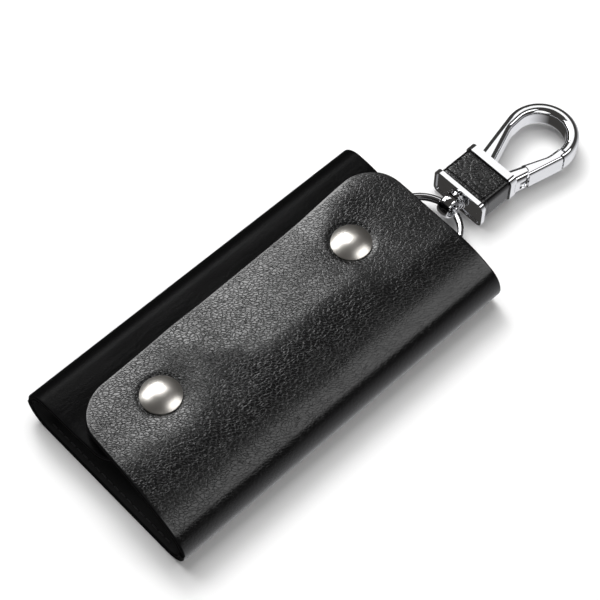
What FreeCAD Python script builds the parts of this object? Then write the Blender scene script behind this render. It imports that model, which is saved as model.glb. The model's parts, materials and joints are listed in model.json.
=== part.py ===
import FreeCAD, Part
import math
import os

# Leather key case with snap closure, six key hooks, a split ring and a swivel snap hook.
# Millimetres, +Z up. The origin is the centre of the case's back face, which lies on z = 0.
# +X runs along the case towards the snap hook and +Y towards the fold of the inner flap.

os.makedirs("parts", exist_ok=True)
V = FreeCAD.Vector
X_AXIS, Y_AXIS, Z_AXIS = V(1, 0, 0), V(0, 1, 0), V(0, 0, 1)
THROUGH = 30.0                   # length of a tool that cuts right through

# ---- case ----
CASE_LENGTH = 120.0
CASE_HALF_FLAT = 25.0            # from the middle to the centre of each fold
LEATHER = 1.3
LINING = 0.7
WALL = LEATHER + LINING
RIGHT_FOLD_RADIUS = 7.0          # outer surface, on the outer flap's side
LEFT_FOLD_RADIUS = 7.2           # outer surface, on the inner flap's side
SPINE_START = 60.0               # degrees round a fold from the back panel
SPINE_END = 120.0
OUTER_LEAVES_FOLD = 155.0        # where the outer flap leaves the fold's arc, rising
INNER_LEAVES_FOLD = 180.0
OUTER_TOP = 17.0                 # outer surface of the outer flap, where the snaps are
OUTER_RISE_END = -12.0
OUTER_FLAT_END = 11.0
OUTER_TIP = (20.8, 16.5)
INNER_TOP = 13.5                 # outer surface of the inner flap, where the snaps are
INNER_FLAT_START = 11.0
INNER_TIP = -3.0
OUTER_PLAN = [(-59.3, -33.0), (-56.4, 17.4), (59.8, 20.6), (59.8, -33.0)]
OUTER_CORNER = 12.0
INNER_PLAN = [(-58.8, 33.0), (-58.2, -3.0), (59.2, -3.0), (59.4, 33.0)]
INNER_CORNER = 8.0

# ---- snap fasteners ----
SNAP_X = 35.4
SNAP_Y = 3.8
SNAP_SHANK = 1.5
CAP_RADIUS = 5.9
CAP_RIM = 0.55
CAP_HEIGHT = 2.1
SOCKET_RADIUS = 4.8
SOCKET_BORE = 2.25
STUD_RADIUS = 2.1
STUD_DISC_RADIUS = 4.2
STUD_DISC = 0.3
POST_RADIUS = 4.6
POST_DISC = 0.55
SNAP_GAP = 0.1
SOCKET_BEVEL = 0.3
STUD_WAIST = 0.3                 # how far the stud narrows below its head
STUD_SHOULDER = 0.5
POST_BEVEL = 0.2

# ---- key rail inside ----
PLATE_X0, PLATE_X1 = 27.0, 36.0
PLATE_HALF_LENGTH = 24.5
PLATE_THICKNESS = 0.8
ROD_X = 28.5
ROD_Z = WALL + 2.6
ROD_RADIUS = 0.8
KEY_PITCH = 7.0
KEY_COUNT = 6
LUG_THICKNESS = 0.8
LUG_RADIUS = 1.5
RIVET_X = 33.0
RIVET_Y = 21.0
RIVET_SHANK = 1.1
RIVET_HEAD = 2.1
RIVET_RISE = 0.9
RIVET_ROUND = 0.25

# ---- key hook and its latch, measured along the case ----
HOOK_SHEET = 1.1
HOOK_NOSE_X = 6.0
HOOK_HALF_WIDTH = 2.9
HOOK_BAR = 1.4
HOOK_NOSE_END = 8.0
HOOK_HEEL_X = 20.7
HOOK_NECK_X = 22.5
HOOK_EYE_RADIUS = 1.55
HOOK_EYE_LENGTH = 4.4
HOOK_NECK_HALF = 1.6
HEEL_DROP = 0.5                  # the heel hangs below the sheet, to carry the latch's pin
SHELF_REACH = 1.2
SHELF_EDGE_Y = -1.0
LATCH_PIVOT_X = 19.4
LATCH_PIVOT_Y = -2.1
LATCH_PIN = 0.45
LATCH_EYE = 1.05
LATCH_TIP_X = 8.3
LATCH_INSET = 0.1
PIN_HEAD = 0.3                   # thickness of the head on the latch's pin
PIN_HEAD_LIP = 0.35
SLIDING_GAP = 0.05               # between faces that turn on each other
HINGE_CLEARANCE = 0.06

# ---- split ring and its tab ----
CHAIN_Y = -0.9                   # centre line of the ring, swivel and snap hook
RING_X = 59.2
RING_Z = 4.3
RING_RADIUS = 12.5
RING_WIRE = 1.8
RING_COIL = 1.1
RING_SEAM = 0.1
RING_BEVEL = 0.25
WEB_INSET = 0.5                  # the thin web that joins the coils
WEB_BITE = 0.1
TAB_LEATHER = 0.7
TAB_GAP = 0.1                    # between the tab's two leaves
TAB_HALF_WIDTH = 3.0
TAB_START_X = 37.4
TAB_LOOP_X = 47.85
TAB_LOOP_RADIUS = 2.3
TAB_LOOP_END = 110.0             # degrees, where the upper leaf leaves the loop
TAB_JOIN_X = 42.6
TAB_RIVET_X = 40.0

# ---- swivel ----
CHAIN_Z = 4.9                    # height of the swivel's axis
EYE_X = 71.0
EYE_RADIUS = 3.7
EYE_HOLE = 2.3
EYE_HALF_WIDTH = 2.3
EYE_ROUND = 1.0
COLLAR_X = 73.5
COLLAR_LENGTH = 0.8
COLLAR_LEDGE = 0.4
COLLAR_STEPS = (2.2, 2.9, 3.4)    # radii of the neck and the collar's two steps
SHANK_RADIUS = 1.5
SHANK_END_X = 77.4
SHANK_HEAD_RADIUS = 2.4
SHANK_HEAD_X = 76.2

# ---- leather-wrapped keeper and snap hook ----
NEAR_PLATE_X = 74.5
KEEPER_X = 75.9
FLANGE_X = 87.3
FLANGE_END_X = 89.7
NEAR_PLATE_HALF = (9.65, 4.8)   # half width, half height
PLATE_RIM = 0.8
PLATE_RECESS = 0.4
KEEPER_HALF = (8.75, 4.5)
CORE_HALF = (7.75, 3.5)
FLANGE_HALF = (9.1, 4.75)
KEEPER_CORNER = 1.9
FLANGE_CORNER = 1.8
RECESS_CORNER = 1.2
CORE_CORNER = 0.9
POCKET_GAP = 0.3                 # round the shank's head, inside the keeper
POCKET_DEPTH = 2.4
LOOP_ROOT = 0.5                  # how deep the loop runs into the flange
HOOK_Y = -2.7
HOOK_HALF_HEIGHT = 3.4
HOOK_ROUND = 1.6                 # radius of the loop's long edges
GATE_ROUND = 1.0
OUTER_PEAR = [(88.0, 6.9), (108.0, 11.3)]               # x and radius of each circle
INNER_PEAR = [(92.4, 2.9), (104.6, 7.3), (107.9, 7.5)]
GATE_PIVOT = (92.6, -8.25)
GATE_PIN_RADIUS = 0.8
GATE_EYE_RADIUS = 2.2
GATE_SLOT_HALF = 1.55
CHEEK_RADIUS = 2.5
GATE_TAIL_RADIUS = 2.8
GATE_BODY_START = 1.5            # past the pivot, so that the open gate clears the frame
GATE_LIP_X = 105.6
GATE_TIP_X = 107.2
GATE_SEAM = 0.25
GATE_GAP = 0.6                   # room past the gate's tip, which swings out a little
GATE_LIP_Y = -12.4               # the lip on the nose lies outside this line
GATE_EYE_REST = 0.2              # below the gate's eye; the spring fills the room above it
GATE_NECK = (3.4, -1.6, 1.4)     # length, and its two sides from the pivot
SPRING_WIRE = 0.22
SPRING_REST = 0.1
SPRING_RADIUS = 1.35
SPRING_PITCH = 0.36
SPRING_TURNS = 3
SPRING_LEG = 2.0


# ---------------------------------------------------------------- helpers

def export(node, *solids):
    """Write one node from its solid, or from a group of separate solids."""
    shape = solids[0] if len(solids) == 1 else Part.makeCompound(list(solids))
    shape.exportStep("parts/" + node + ".step")
    print(node, len(shape.Solids), round(shape.Volume, 2), shape.isValid())


def whole(shape):
    """The one solid that a boolean leaves, with its seams merged."""
    solids = shape.removeSplitter().Solids
    if len(solids) != 1:
        raise ValueError("expected one solid, got %d" % len(solids))
    return solids[0]


def box(x0, x1, y0, y1, z0, z1):
    return Part.makeBox(x1 - x0, y1 - y0, z1 - z0, V(x0, y0, z0))


def cylinder(radius, start, direction, length):
    return Part.makeCylinder(radius, length, start, direction)


def in_yz(across, up):
    return V(0.0, across, up)


def in_xz(across, up):
    return V(across, CHAIN_Y - TAB_HALF_WIDTH, up)


# A path is a list of stretches along a band's outer surface, drawn on a plane. Each stretch is a
# list of (across, up, normal across, normal up): two points for a line, three for an arc.

def level(start, end, height, way):
    """A straight stretch whose outer side faces up (1) or down (-1)."""
    return [(start, height, 0.0, way), (end, height, 0.0, way)]


def arc(centre, radius, start_deg, end_deg):
    """An arc that bulges outwards, between two headings from its centre."""
    points = []
    for share in (0.0, 0.5, 1.0):
        angle = math.radians(start_deg + (end_deg - start_deg) * share)
        out, up = math.cos(angle), math.sin(angle)
        points.append((centre[0] + radius * out, centre[1] + radius * up, out, up))
    return points


def eased(start, end, start_deg, end_deg, hand):
    """A cubic between two headings of travel; its outer side is on the left (1) or right (-1)."""
    steps = 8
    reach = math.hypot(end[0] - start[0], end[1] - start[1])
    t0 = (math.cos(math.radians(start_deg)), math.sin(math.radians(start_deg)))
    t1 = (math.cos(math.radians(end_deg)), math.sin(math.radians(end_deg)))
    points = []
    for i in range(steps + 1):
        u = i / steps
        h0, h1 = 2 * u ** 3 - 3 * u ** 2 + 1, 3 * u ** 2 - 2 * u ** 3
        g0, g1 = reach * (u ** 3 - 2 * u ** 2 + u), reach * (u ** 3 - u ** 2)
        d0, d1 = 6 * u ** 2 - 6 * u, 6 * u - 6 * u ** 2
        e0, e1 = reach * (3 * u ** 2 - 4 * u + 1), reach * (3 * u ** 2 - 2 * u)
        place = [start[k] * h0 + end[k] * h1 + t0[k] * g0 + t1[k] * g1 for k in (0, 1)]
        along = [start[k] * d0 + end[k] * d1 + t0[k] * e0 + t1[k] * e1 for k in (0, 1)]
        size = math.hypot(along[0], along[1])
        points.append((place[0], place[1], -hand * along[1] / size, hand * along[0] / size))
    return points


def rim_edge(stretch, depth, to_space):
    """The edge that runs at a depth below one stretch of a path."""
    rim = [to_space(p[0] - depth * p[2], p[1] - depth * p[3]) for p in stretch]
    if len(rim) == 2:
        return Part.makeLine(rim[0], rim[1])
    if len(rim) == 3:
        return Part.Arc(rim[0], rim[1], rim[2]).toShape()
    curve = Part.BSplineCurve()
    curve.interpolate(rim)
    return curve.toShape()


def strip(path, outer, inner, to_space, sweep):
    """Sweep the band between two depths below a path's outer surface."""
    edges = [rim_edge(stretch, depth, to_space) for depth in (outer, inner) for stretch in path]
    for p in (path[0][0], path[-1][-1]):
        ends = [to_space(p[0] - depth * p[2], p[1] - depth * p[3]) for depth in (outer, inner)]
        edges.append(Part.makeLine(ends[0], ends[1]))
    wire = Part.Wire(Part.__sortEdges__(edges))
    return Part.Face(wire).extrude(sweep)


def rounded_outline(points, radii, low, high):
    """An upright prism over a polygon whose corners are rounded where a radius is given."""
    edges = []
    count = len(points)
    ends = []
    for i, (x, y) in enumerate(points):
        here = V(x, y, low)
        back = V(points[i - 1][0], points[i - 1][1], low) - here
        ahead = V(points[(i + 1) % count][0], points[(i + 1) % count][1], low) - here
        back.normalize()
        ahead.normalize()
        if radii[i] == 0.0:
            ends.append((here, here))
            continue
        half = back.getAngle(ahead) / 2.0
        setback = radii[i] / math.tan(half)
        inward = back + ahead
        inward.normalize()
        crown = here + inward * (radii[i] / math.sin(half) - radii[i])
        ends.append((here + back * setback, here + ahead * setback))
        edges.append(Part.Arc(ends[i][0], crown, ends[i][1]).toShape())
    for i in range(count):
        edges.append(Part.makeLine(ends[i][1], ends[(i + 1) % count][0]))
    wire = Part.Wire(Part.__sortEdges__(edges))
    return Part.Face(wire).extrude(V(0, 0, high - low))


def turned(profile, place, axis):
    """Turn a closed polygon of (radius, height) about an axis through a point."""
    points = [V(r, 0, h) for r, h in profile]
    face = Part.Face(Part.makePolygon(points + [points[0]]))
    solid = face.revolve(V(0, 0, 0), Z_AXIS, 360.0)
    solid.Placement = FreeCAD.Placement(place, FreeCAD.Rotation(Z_AXIS, axis))
    return solid


def rounded_bar(x0, x1, half, corner):
    """A bar along X with rounded long edges, centred on the chain's axis."""
    bar = box(x0, x1, CHAIN_Y - half[0], CHAIN_Y + half[0], CHAIN_Z - half[1], CHAIN_Z + half[1])
    long_edges = [e for e in bar.Edges if abs(e.tangentAt(e.FirstParameter).x) > 0.9]
    return bar.makeFillet(corner, long_edges)


# ---------------------------------------------------------------- case

RIGHT_CENTRE = (-CASE_HALF_FLAT, RIGHT_FOLD_RADIUS)
LEFT_CENTRE = (CASE_HALF_FLAT, LEFT_FOLD_RADIUS)


def right_arc(start, end):
    """Part of the right fold, in degrees round it from the back panel."""
    return arc(RIGHT_CENTRE, RIGHT_FOLD_RADIUS, 270.0 - start, 270.0 - end)


def left_arc(start, end):
    """Part of the left fold, in degrees round it from the back panel."""
    return arc(LEFT_CENTRE, LEFT_FOLD_RADIUS, start - 90.0, end - 90.0)


def back_profile():
    """Outer surface of the back panel, from the right fold's seam to the left fold's."""
    flat = level(-CASE_HALF_FLAT, CASE_HALF_FLAT, 0.0, -1.0)
    return [right_arc(SPINE_START, 0.0), flat, left_arc(0.0, SPINE_START)]


def outer_flap_profile():
    fold = right_arc(SPINE_END, OUTER_LEAVES_FOLD)
    rise = eased(fold[-1][:2], (OUTER_RISE_END, OUTER_TOP), 180.0 - OUTER_LEAVES_FOLD, 0.0, 1)
    flat = level(OUTER_RISE_END, OUTER_FLAT_END, OUTER_TOP, 1.0)
    tip = eased((OUTER_FLAT_END, OUTER_TOP), OUTER_TIP, 0.0, -6.0, 1)
    return [fold, rise, flat, tip]


def inner_flap_profile():
    fold = left_arc(SPINE_END, INNER_LEAVES_FOLD)
    fall = eased(fold[-1][:2], (INNER_FLAT_START, INNER_TOP), 180.0, 180.0, -1)
    flat = level(INNER_FLAT_START, INNER_TIP, INNER_TOP, 1.0)
    return [fold, fall, flat]


def case_skin(path, outer, inner):
    skin = strip(path, outer, inner, in_yz, V(CASE_LENGTH, 0, 0))
    skin.translate(V(-CASE_LENGTH / 2.0, 0, 0))
    return skin


def snap_places():
    return [("near", -SNAP_X), ("far", SNAP_X)]


def pierced(skin, spots, radius):
    """Punch upright holes through a skin at the given places."""
    for x, y in spots:
        skin = skin.cut(cylinder(radius, V(x, y, -1.0), Z_AXIS, THROUGH))
    return whole(skin)


def make_case_shell():
    rivets = [(RIVET_X, RIVET_Y), (RIVET_X, -RIVET_Y), (TAB_RIVET_X, CHAIN_Y)]
    snaps = [(x, SNAP_Y) for _, x in snap_places()]
    outer_plan = rounded_outline(OUTER_PLAN, [0.0, OUTER_CORNER, OUTER_CORNER, 0.0], 0.0, 30.0)
    inner_plan = rounded_outline(INNER_PLAN, [0.0, INNER_CORNER, INNER_CORNER, 0.0], 0.0, 30.0)
    for skin, depth0, depth1 in (("leather", 0.0, LEATHER), ("lining", LEATHER, WALL)):
        back = case_skin(back_profile(), depth0, depth1)
        if skin == "lining":
            back = pierced(back, rivets, RIVET_SHANK)
        export("back_" + skin, back)
        right, left = right_arc(SPINE_START, SPINE_END), left_arc(SPINE_START, SPINE_END)
        export("right_spine_" + skin, case_skin([right], depth0, depth1))
        export("left_spine_" + skin, case_skin([left], depth0, depth1))
        outer = case_skin(outer_flap_profile(), depth0, depth1).common(outer_plan)
        inner = case_skin(inner_flap_profile(), depth0, depth1).common(inner_plan)
        export("outer_flap_" + skin, pierced(outer, snaps, SNAP_SHANK))
        export("inner_flap_" + skin, pierced(inner, snaps, SNAP_SHANK))


def make_snaps():
    """Cap and socket on the outer flap, stud and post on the inner flap, at each snap."""
    under_outer = OUTER_TOP - WALL
    under_inner = INNER_TOP - WALL
    for label, x in snap_places():
        rise = CAP_HEIGHT - CAP_RIM
        ball = (CAP_RADIUS ** 2 + rise ** 2) / (2 * rise)
        dome = cylinder(CAP_RADIUS, V(x, SNAP_Y, OUTER_TOP), Z_AXIS, CAP_HEIGHT)
        dome = dome.common(Part.makeSphere(ball, V(x, SNAP_Y, OUTER_TOP + CAP_HEIGHT - ball)))
        shank = cylinder(SNAP_SHANK, V(x, SNAP_Y, under_outer), Z_AXIS, WALL)
        export("snap_cap_" + label, whole(dome.fuse(shank)))

        place = V(x, SNAP_Y, 0)
        low = INNER_TOP + STUD_DISC + SNAP_GAP
        socket = turned([(SOCKET_BORE, low), (SOCKET_RADIUS - SOCKET_BEVEL, low),
                         (SOCKET_RADIUS, low + SOCKET_BEVEL), (SOCKET_RADIUS, under_outer),
                         (SOCKET_BORE, under_outer)], place, Z_AXIS)
        export("snap_socket_" + label, socket)

        head = under_outer - SNAP_GAP
        stud = turned([(0, under_inner), (SNAP_SHANK, under_inner), (SNAP_SHANK, INNER_TOP),
                       (STUD_DISC_RADIUS, INNER_TOP), (STUD_DISC_RADIUS, INNER_TOP + STUD_DISC),
                       (STUD_RADIUS - STUD_WAIST, INNER_TOP + STUD_DISC),
                       (STUD_RADIUS, INNER_TOP + STUD_DISC + STUD_SHOULDER),
                       (STUD_RADIUS - STUD_SHOULDER, head),
                       (0, head)], place, Z_AXIS)
        export("snap_stud_" + label, stud)

        low = under_inner - POST_DISC
        post = turned([(0, low), (POST_RADIUS - POST_BEVEL, low), (POST_RADIUS, low + POST_BEVEL),
                       (POST_RADIUS, under_inner), (0, under_inner)], place, Z_AXIS)
        export("snap_post_" + label, post)


# ---------------------------------------------------------------- key rail

def key_rows():
    """The number of each key hook and its place across the case."""
    first = -KEY_PITCH * (KEY_COUNT - 1) / 2.0
    return [(i + 1, first + KEY_PITCH * i) for i in range(KEY_COUNT)]


def make_key_plate():
    top = WALL + PLATE_THICKNESS
    plate = box(PLATE_X0, PLATE_X1, -PLATE_HALF_LENGTH, PLATE_HALF_LENGTH, WALL, top)
    for i in range(KEY_COUNT + 1):
        y = KEY_PITCH * (i - KEY_COUNT / 2.0)
        start = V(ROD_X, y - LUG_THICKNESS / 2.0, ROD_Z)
        lug = cylinder(LUG_RADIUS, start, Y_AXIS, LUG_THICKNESS)
        foot = box(ROD_X - LUG_RADIUS, ROD_X + LUG_RADIUS, start.y, start.y + LUG_THICKNESS,
                   WALL, ROD_Z)
        plate = plate.fuse(lug).fuse(foot)
    rod = cylinder(ROD_RADIUS, V(ROD_X, -PLATE_HALF_LENGTH, ROD_Z), Y_AXIS,
                   2 * PLATE_HALF_LENGTH)
    plate = plate.cut(rod)
    export("key_plate", pierced(plate, [(RIVET_X, RIVET_Y), (RIVET_X, -RIVET_Y)], RIVET_SHANK))
    export("key_rod", rod)
    for label, y in (("left", RIVET_Y), ("right", -RIVET_Y)):
        export("plate_rivet_" + label, rivet(V(RIVET_X, y, LEATHER), top - LEATHER))


def rivet(foot, grip):
    """A round-headed rivet that stands on its foot and grips a stack."""
    profile = [(0, 0), (RIVET_SHANK, 0), (RIVET_SHANK, grip), (RIVET_HEAD, grip),
               (RIVET_HEAD - RIVET_ROUND, grip + RIVET_RISE / 2),
               (RIVET_SHANK, grip + 0.9 * RIVET_RISE), (0, grip + RIVET_RISE)]
    return turned(profile, foot, Z_AXIS)


def key_hook(y):
    """A flat snap hook on the rod: eye, neck, heel, side bar and nose, in one sheet."""
    low, high = ROD_Z - HOOK_SHEET / 2.0, ROD_Z + HOOK_SHEET / 2.0
    inside = HOOK_HALF_WIDTH - HOOK_BAR
    base = low - HEEL_DROP
    nose_at = V(HOOK_NOSE_X, y, low)
    up = Z_AXIS
    nose = cylinder(HOOK_HALF_WIDTH, nose_at, up, HOOK_SHEET)
    nose = nose.cut(cylinder(inside, nose_at, up, HOOK_SHEET))
    nose = nose.cut(box(HOOK_NOSE_X, HOOK_NOSE_X + 5, y - 5, y + 5, low, high))
    lip = box(HOOK_NOSE_X, HOOK_NOSE_END, y - HOOK_HALF_WIDTH, y - inside, low, high)
    bar = box(HOOK_NOSE_X, HOOK_NECK_X, y + inside, y + HOOK_HALF_WIDTH, low, high)
    heel = box(HOOK_HEEL_X, HOOK_NECK_X, y - HOOK_HALF_WIDTH, y + HOOK_HALF_WIDTH, base, high)
    shelf = box(LATCH_PIVOT_X - SHELF_REACH, HOOK_HEEL_X, y - HOOK_HALF_WIDTH, y + SHELF_EDGE_Y,
                base, low - SLIDING_GAP)
    neck = box(HOOK_NECK_X, ROD_X - 1.0, y - HOOK_NECK_HALF, y + HOOK_NECK_HALF, low, high)
    eye = cylinder(HOOK_EYE_RADIUS, V(ROD_X, y - HOOK_EYE_LENGTH / 2.0, ROD_Z), Y_AXIS,
                   HOOK_EYE_LENGTH)
    pivot = V(LATCH_PIVOT_X, y + LATCH_PIVOT_Y, base)
    pin = cylinder(LATCH_PIN, pivot, up, high + SLIDING_GAP + PIN_HEAD - base)
    head = cylinder(LATCH_PIN + PIN_HEAD_LIP, pivot + V(0, 0, high + SLIDING_GAP - base), up,
                    PIN_HEAD)
    hook = nose.multiFuse([lip, bar, heel, shelf, neck, eye, pin, head])
    bore = cylinder(ROD_RADIUS + HINGE_CLEARANCE, V(ROD_X, y - 5, ROD_Z), Y_AXIS, 10)
    return whole(hook.cut(bore))


def key_latch(y):
    """The sprung bar that closes a key hook; it turns on the pin in the hook's heel."""
    low, high = ROD_Z - HOOK_SHEET / 2.0, ROD_Z + HOOK_SHEET / 2.0
    pivot = V(LATCH_PIVOT_X, y + LATCH_PIVOT_Y, low)
    up = Z_AXIS
    bar = box(LATCH_TIP_X, LATCH_PIVOT_X, y - HOOK_HALF_WIDTH + LATCH_INSET,
              y - HOOK_HALF_WIDTH + HOOK_BAR, low, high)
    eye = cylinder(LATCH_EYE, pivot, up, HOOK_SHEET)
    bore = cylinder(LATCH_PIN + HINGE_CLEARANCE, pivot, up, HOOK_SHEET)
    return whole(bar.fuse(eye).cut(bore))


# ---------------------------------------------------------------- ring and swivel

def make_ring():
    """Two flat coils, joined by a thin web so that they stay one solid."""
    half = RING_SEAM / 2.0
    inner = RING_RADIUS - RING_WIRE
    soft = RING_BEVEL
    coil = [(inner, half + soft), (inner + soft, half), (RING_RADIUS - soft, half),
            (RING_RADIUS, half + soft), (RING_RADIUS, half + RING_COIL - soft),
            (RING_RADIUS - soft, half + RING_COIL), (inner + soft, half + RING_COIL),
            (inner, half + RING_COIL - soft)]
    place = V(RING_X, CHAIN_Y, RING_Z)
    upper = turned(coil, place, Z_AXIS)
    lower = turned([(r, -h) for r, h in coil], place, Z_AXIS)
    web_in, web_out, web_half = inner + WEB_INSET, RING_RADIUS - WEB_INSET, half + WEB_BITE
    web = turned([(web_in, -web_half), (web_out, -web_half), (web_out, web_half),
                  (web_in, web_half)], place, Z_AXIS)
    export("split_ring", whole(upper.fuse(lower).fuse(web)))


def make_ring_tab():
    """A strap folded round the ring, its two leaves riveted together on the back panel."""
    leaf_top = WALL + 2 * TAB_LEATHER + TAB_GAP
    lower = level(TAB_START_X, TAB_LOOP_X, WALL, -1.0)
    loop = arc((TAB_LOOP_X, RING_Z), TAB_LOOP_RADIUS, -90.0, TAB_LOOP_END)
    fall = eased(loop[-1][:2], (TAB_JOIN_X, leaf_top), TAB_LOOP_END + 90.0, 180.0, -1)
    upper = level(TAB_JOIN_X, TAB_START_X, leaf_top, 1.0)
    path = [lower, loop, fall, upper]
    tab = strip(path, 0.0, TAB_LEATHER, in_xz, V(0, 2 * TAB_HALF_WIDTH, 0))
    export("ring_tab", pierced(tab, [(TAB_RIVET_X, CHAIN_Y)], RIVET_SHANK))
    export("tab_rivet", rivet(V(TAB_RIVET_X, CHAIN_Y, LEATHER), leaf_top - LEATHER))


def make_swivel_eye():
    """Loop round the split ring, stepped collar, and the shank that the hook turns on."""
    axis_at = V(0, CHAIN_Y, CHAIN_Z)
    loop = cylinder(EYE_RADIUS, V(EYE_X, CHAIN_Y - EYE_HALF_WIDTH, CHAIN_Z), Y_AXIS,
                    2 * EYE_HALF_WIDTH)
    rims = [e for e in loop.Edges if isinstance(e.Curve, Part.Circle)]
    loop = loop.makeFillet(EYE_ROUND, rims)
    loop = loop.cut(box(COLLAR_X + COLLAR_LENGTH / 2.0, COLLAR_X + THROUGH, -THROUGH, THROUGH,
                        -THROUGH, THROUGH))
    neck, step, collar = COLLAR_STEPS
    ledge, collar_end = COLLAR_X - COLLAR_LEDGE, COLLAR_X + COLLAR_LENGTH
    steps = [(0, EYE_X), (neck, EYE_X), (neck, ledge), (step, ledge),
             (step, COLLAR_X), (collar, COLLAR_X), (collar, collar_end), (SHANK_RADIUS, collar_end),
             (SHANK_RADIUS, SHANK_HEAD_X), (SHANK_HEAD_RADIUS, SHANK_HEAD_X),
             (SHANK_HEAD_RADIUS, SHANK_END_X), (0, SHANK_END_X)]
    stem = turned(steps, axis_at, X_AXIS)
    hole = cylinder(EYE_HOLE, V(EYE_X, CHAIN_Y - 5, CHAIN_Z), Y_AXIS, 10)
    export("swivel_eye", whole(loop.fuse(stem).cut(hole)))


# ---------------------------------------------------------------- snap hook

def make_keeper():
    shank_hole = cylinder(SHANK_RADIUS + HINGE_CLEARANCE, V(EYE_X, CHAIN_Y, CHAIN_Z), X_AXIS, 10)
    recess_half = (NEAR_PLATE_HALF[0] - PLATE_RIM, NEAR_PLATE_HALF[1] - PLATE_RIM)
    recess = rounded_bar(NEAR_PLATE_X, NEAR_PLATE_X + PLATE_RECESS, recess_half, RECESS_CORNER)
    plate = rounded_bar(NEAR_PLATE_X, KEEPER_X, NEAR_PLATE_HALF, KEEPER_CORNER)
    plate = plate.cut(recess).cut(shank_hole)
    export("near_plate", whole(plate))
    sleeve = rounded_bar(KEEPER_X, FLANGE_X, KEEPER_HALF, KEEPER_CORNER)
    core = rounded_bar(KEEPER_X, FLANGE_X, CORE_HALF, CORE_CORNER)
    export("keeper_leather", whole(sleeve.cut(core)))
    return core


def pear(circles, low, high):
    """A prism over the taut outline round circles on one line, given as x and radius."""
    upper, lower = [], []
    for (x0, r0), (x1, r1) in zip(circles, circles[1:]):
        slant = math.pi / 2 + math.asin((r1 - r0) / (x1 - x0))
        for x, r in ((x0, r0), (x1, r1)):
            upper.append(V(x + r * math.cos(slant), HOOK_Y + r * math.sin(slant), low))
            lower.append(V(x + r * math.cos(slant), HOOK_Y - r * math.sin(slant), low))
    first, last = circles[0], circles[-1]
    edges = [Part.Arc(lower[0], V(first[0] - first[1], HOOK_Y, low), upper[0]).toShape(),
             Part.Arc(upper[-1], V(last[0] + last[1], HOOK_Y, low), lower[-1]).toShape()]
    for side, sign in ((upper, 1), (lower, -1)):
        for i in range(0, len(side), 2):
            edges.append(Part.makeLine(side[i], side[i + 1]))
        for i in range(1, len(side) - 1, 2):
            x, r = circles[(i + 1) // 2]
            turn = (math.atan2(abs(side[i].y - HOOK_Y), side[i].x - x)
                    + math.atan2(abs(side[i + 1].y - HOOK_Y), side[i + 1].x - x)) / 2
            middle = V(x + r * math.cos(turn), HOOK_Y + sign * r * math.sin(turn), low)
            edges.append(Part.Arc(side[i], middle, side[i + 1]).toShape())
    wire = Part.Wire(Part.__sortEdges__(edges))
    return Part.Face(wire).extrude(V(0, 0, high - low))


def pear_ring(edge_radius):
    """The closed loop from which both the hook's frame and its gate are cut."""
    low, high = CHAIN_Z - HOOK_HALF_HEIGHT, CHAIN_Z + HOOK_HALF_HEIGHT
    ring = pear(OUTER_PEAR, low, high).cut(pear(INNER_PEAR, low - 1, high + 1))
    rims = [e for e in ring.Edges if abs(e.BoundBox.ZMin - e.BoundBox.ZMax) < 1e-4]
    return ring.makeFillet(edge_radius, rims)


def gate_upright(radius, low, high):
    return cylinder(radius, V(GATE_PIVOT[0], GATE_PIVOT[1], low), Z_AXIS, high - low)


def gate_room(seam, gap):
    """The stretch of the loop that the gate takes up, with a stepped seam at its tip."""
    x = GATE_PIVOT[0]
    tongue = box(x, GATE_TIP_X + gap, GATE_LIP_Y - seam, HOOK_Y, -1, 10)
    tail = box(x, GATE_LIP_X + gap, HOOK_Y - 2 * OUTER_PEAR[1][1], HOOK_Y, -1, 10)
    return tongue.fuse(tail)


def make_hook_frame(core):
    low, high = CHAIN_Z - HOOK_HALF_HEIGHT, CHAIN_Z + HOOK_HALF_HEIGHT
    ring = pear_ring(HOOK_ROUND)
    cheeks = ring.common(gate_upright(CHEEK_RADIUS, low - 1, high + 1))
    frame = ring.cut(gate_room(GATE_SEAM, GATE_GAP)).fuse(cheeks)
    slot = gate_upright(CHEEK_RADIUS + GATE_SEAM, CHAIN_Z - GATE_SLOT_HALF,
                        CHAIN_Z + GATE_SLOT_HALF)
    frame = frame.cut(slot)
    frame = frame.cut(box(FLANGE_END_X - THROUGH, FLANGE_END_X - LOOP_ROOT, -THROUGH, THROUGH,
                          -THROUGH, THROUGH))
    flange = rounded_bar(FLANGE_X, FLANGE_END_X, FLANGE_HALF, FLANGE_CORNER)
    pocket = cylinder(SHANK_HEAD_RADIUS + POCKET_GAP, V(KEEPER_X, CHAIN_Y, CHAIN_Z), X_AXIS,
                      POCKET_DEPTH)
    frame = frame.fuse(flange).fuse(core.cut(pocket))
    export("hook_frame", whole(frame.cut(gate_upright(GATE_PIN_RADIUS, -THROUGH, THROUGH))))


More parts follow.
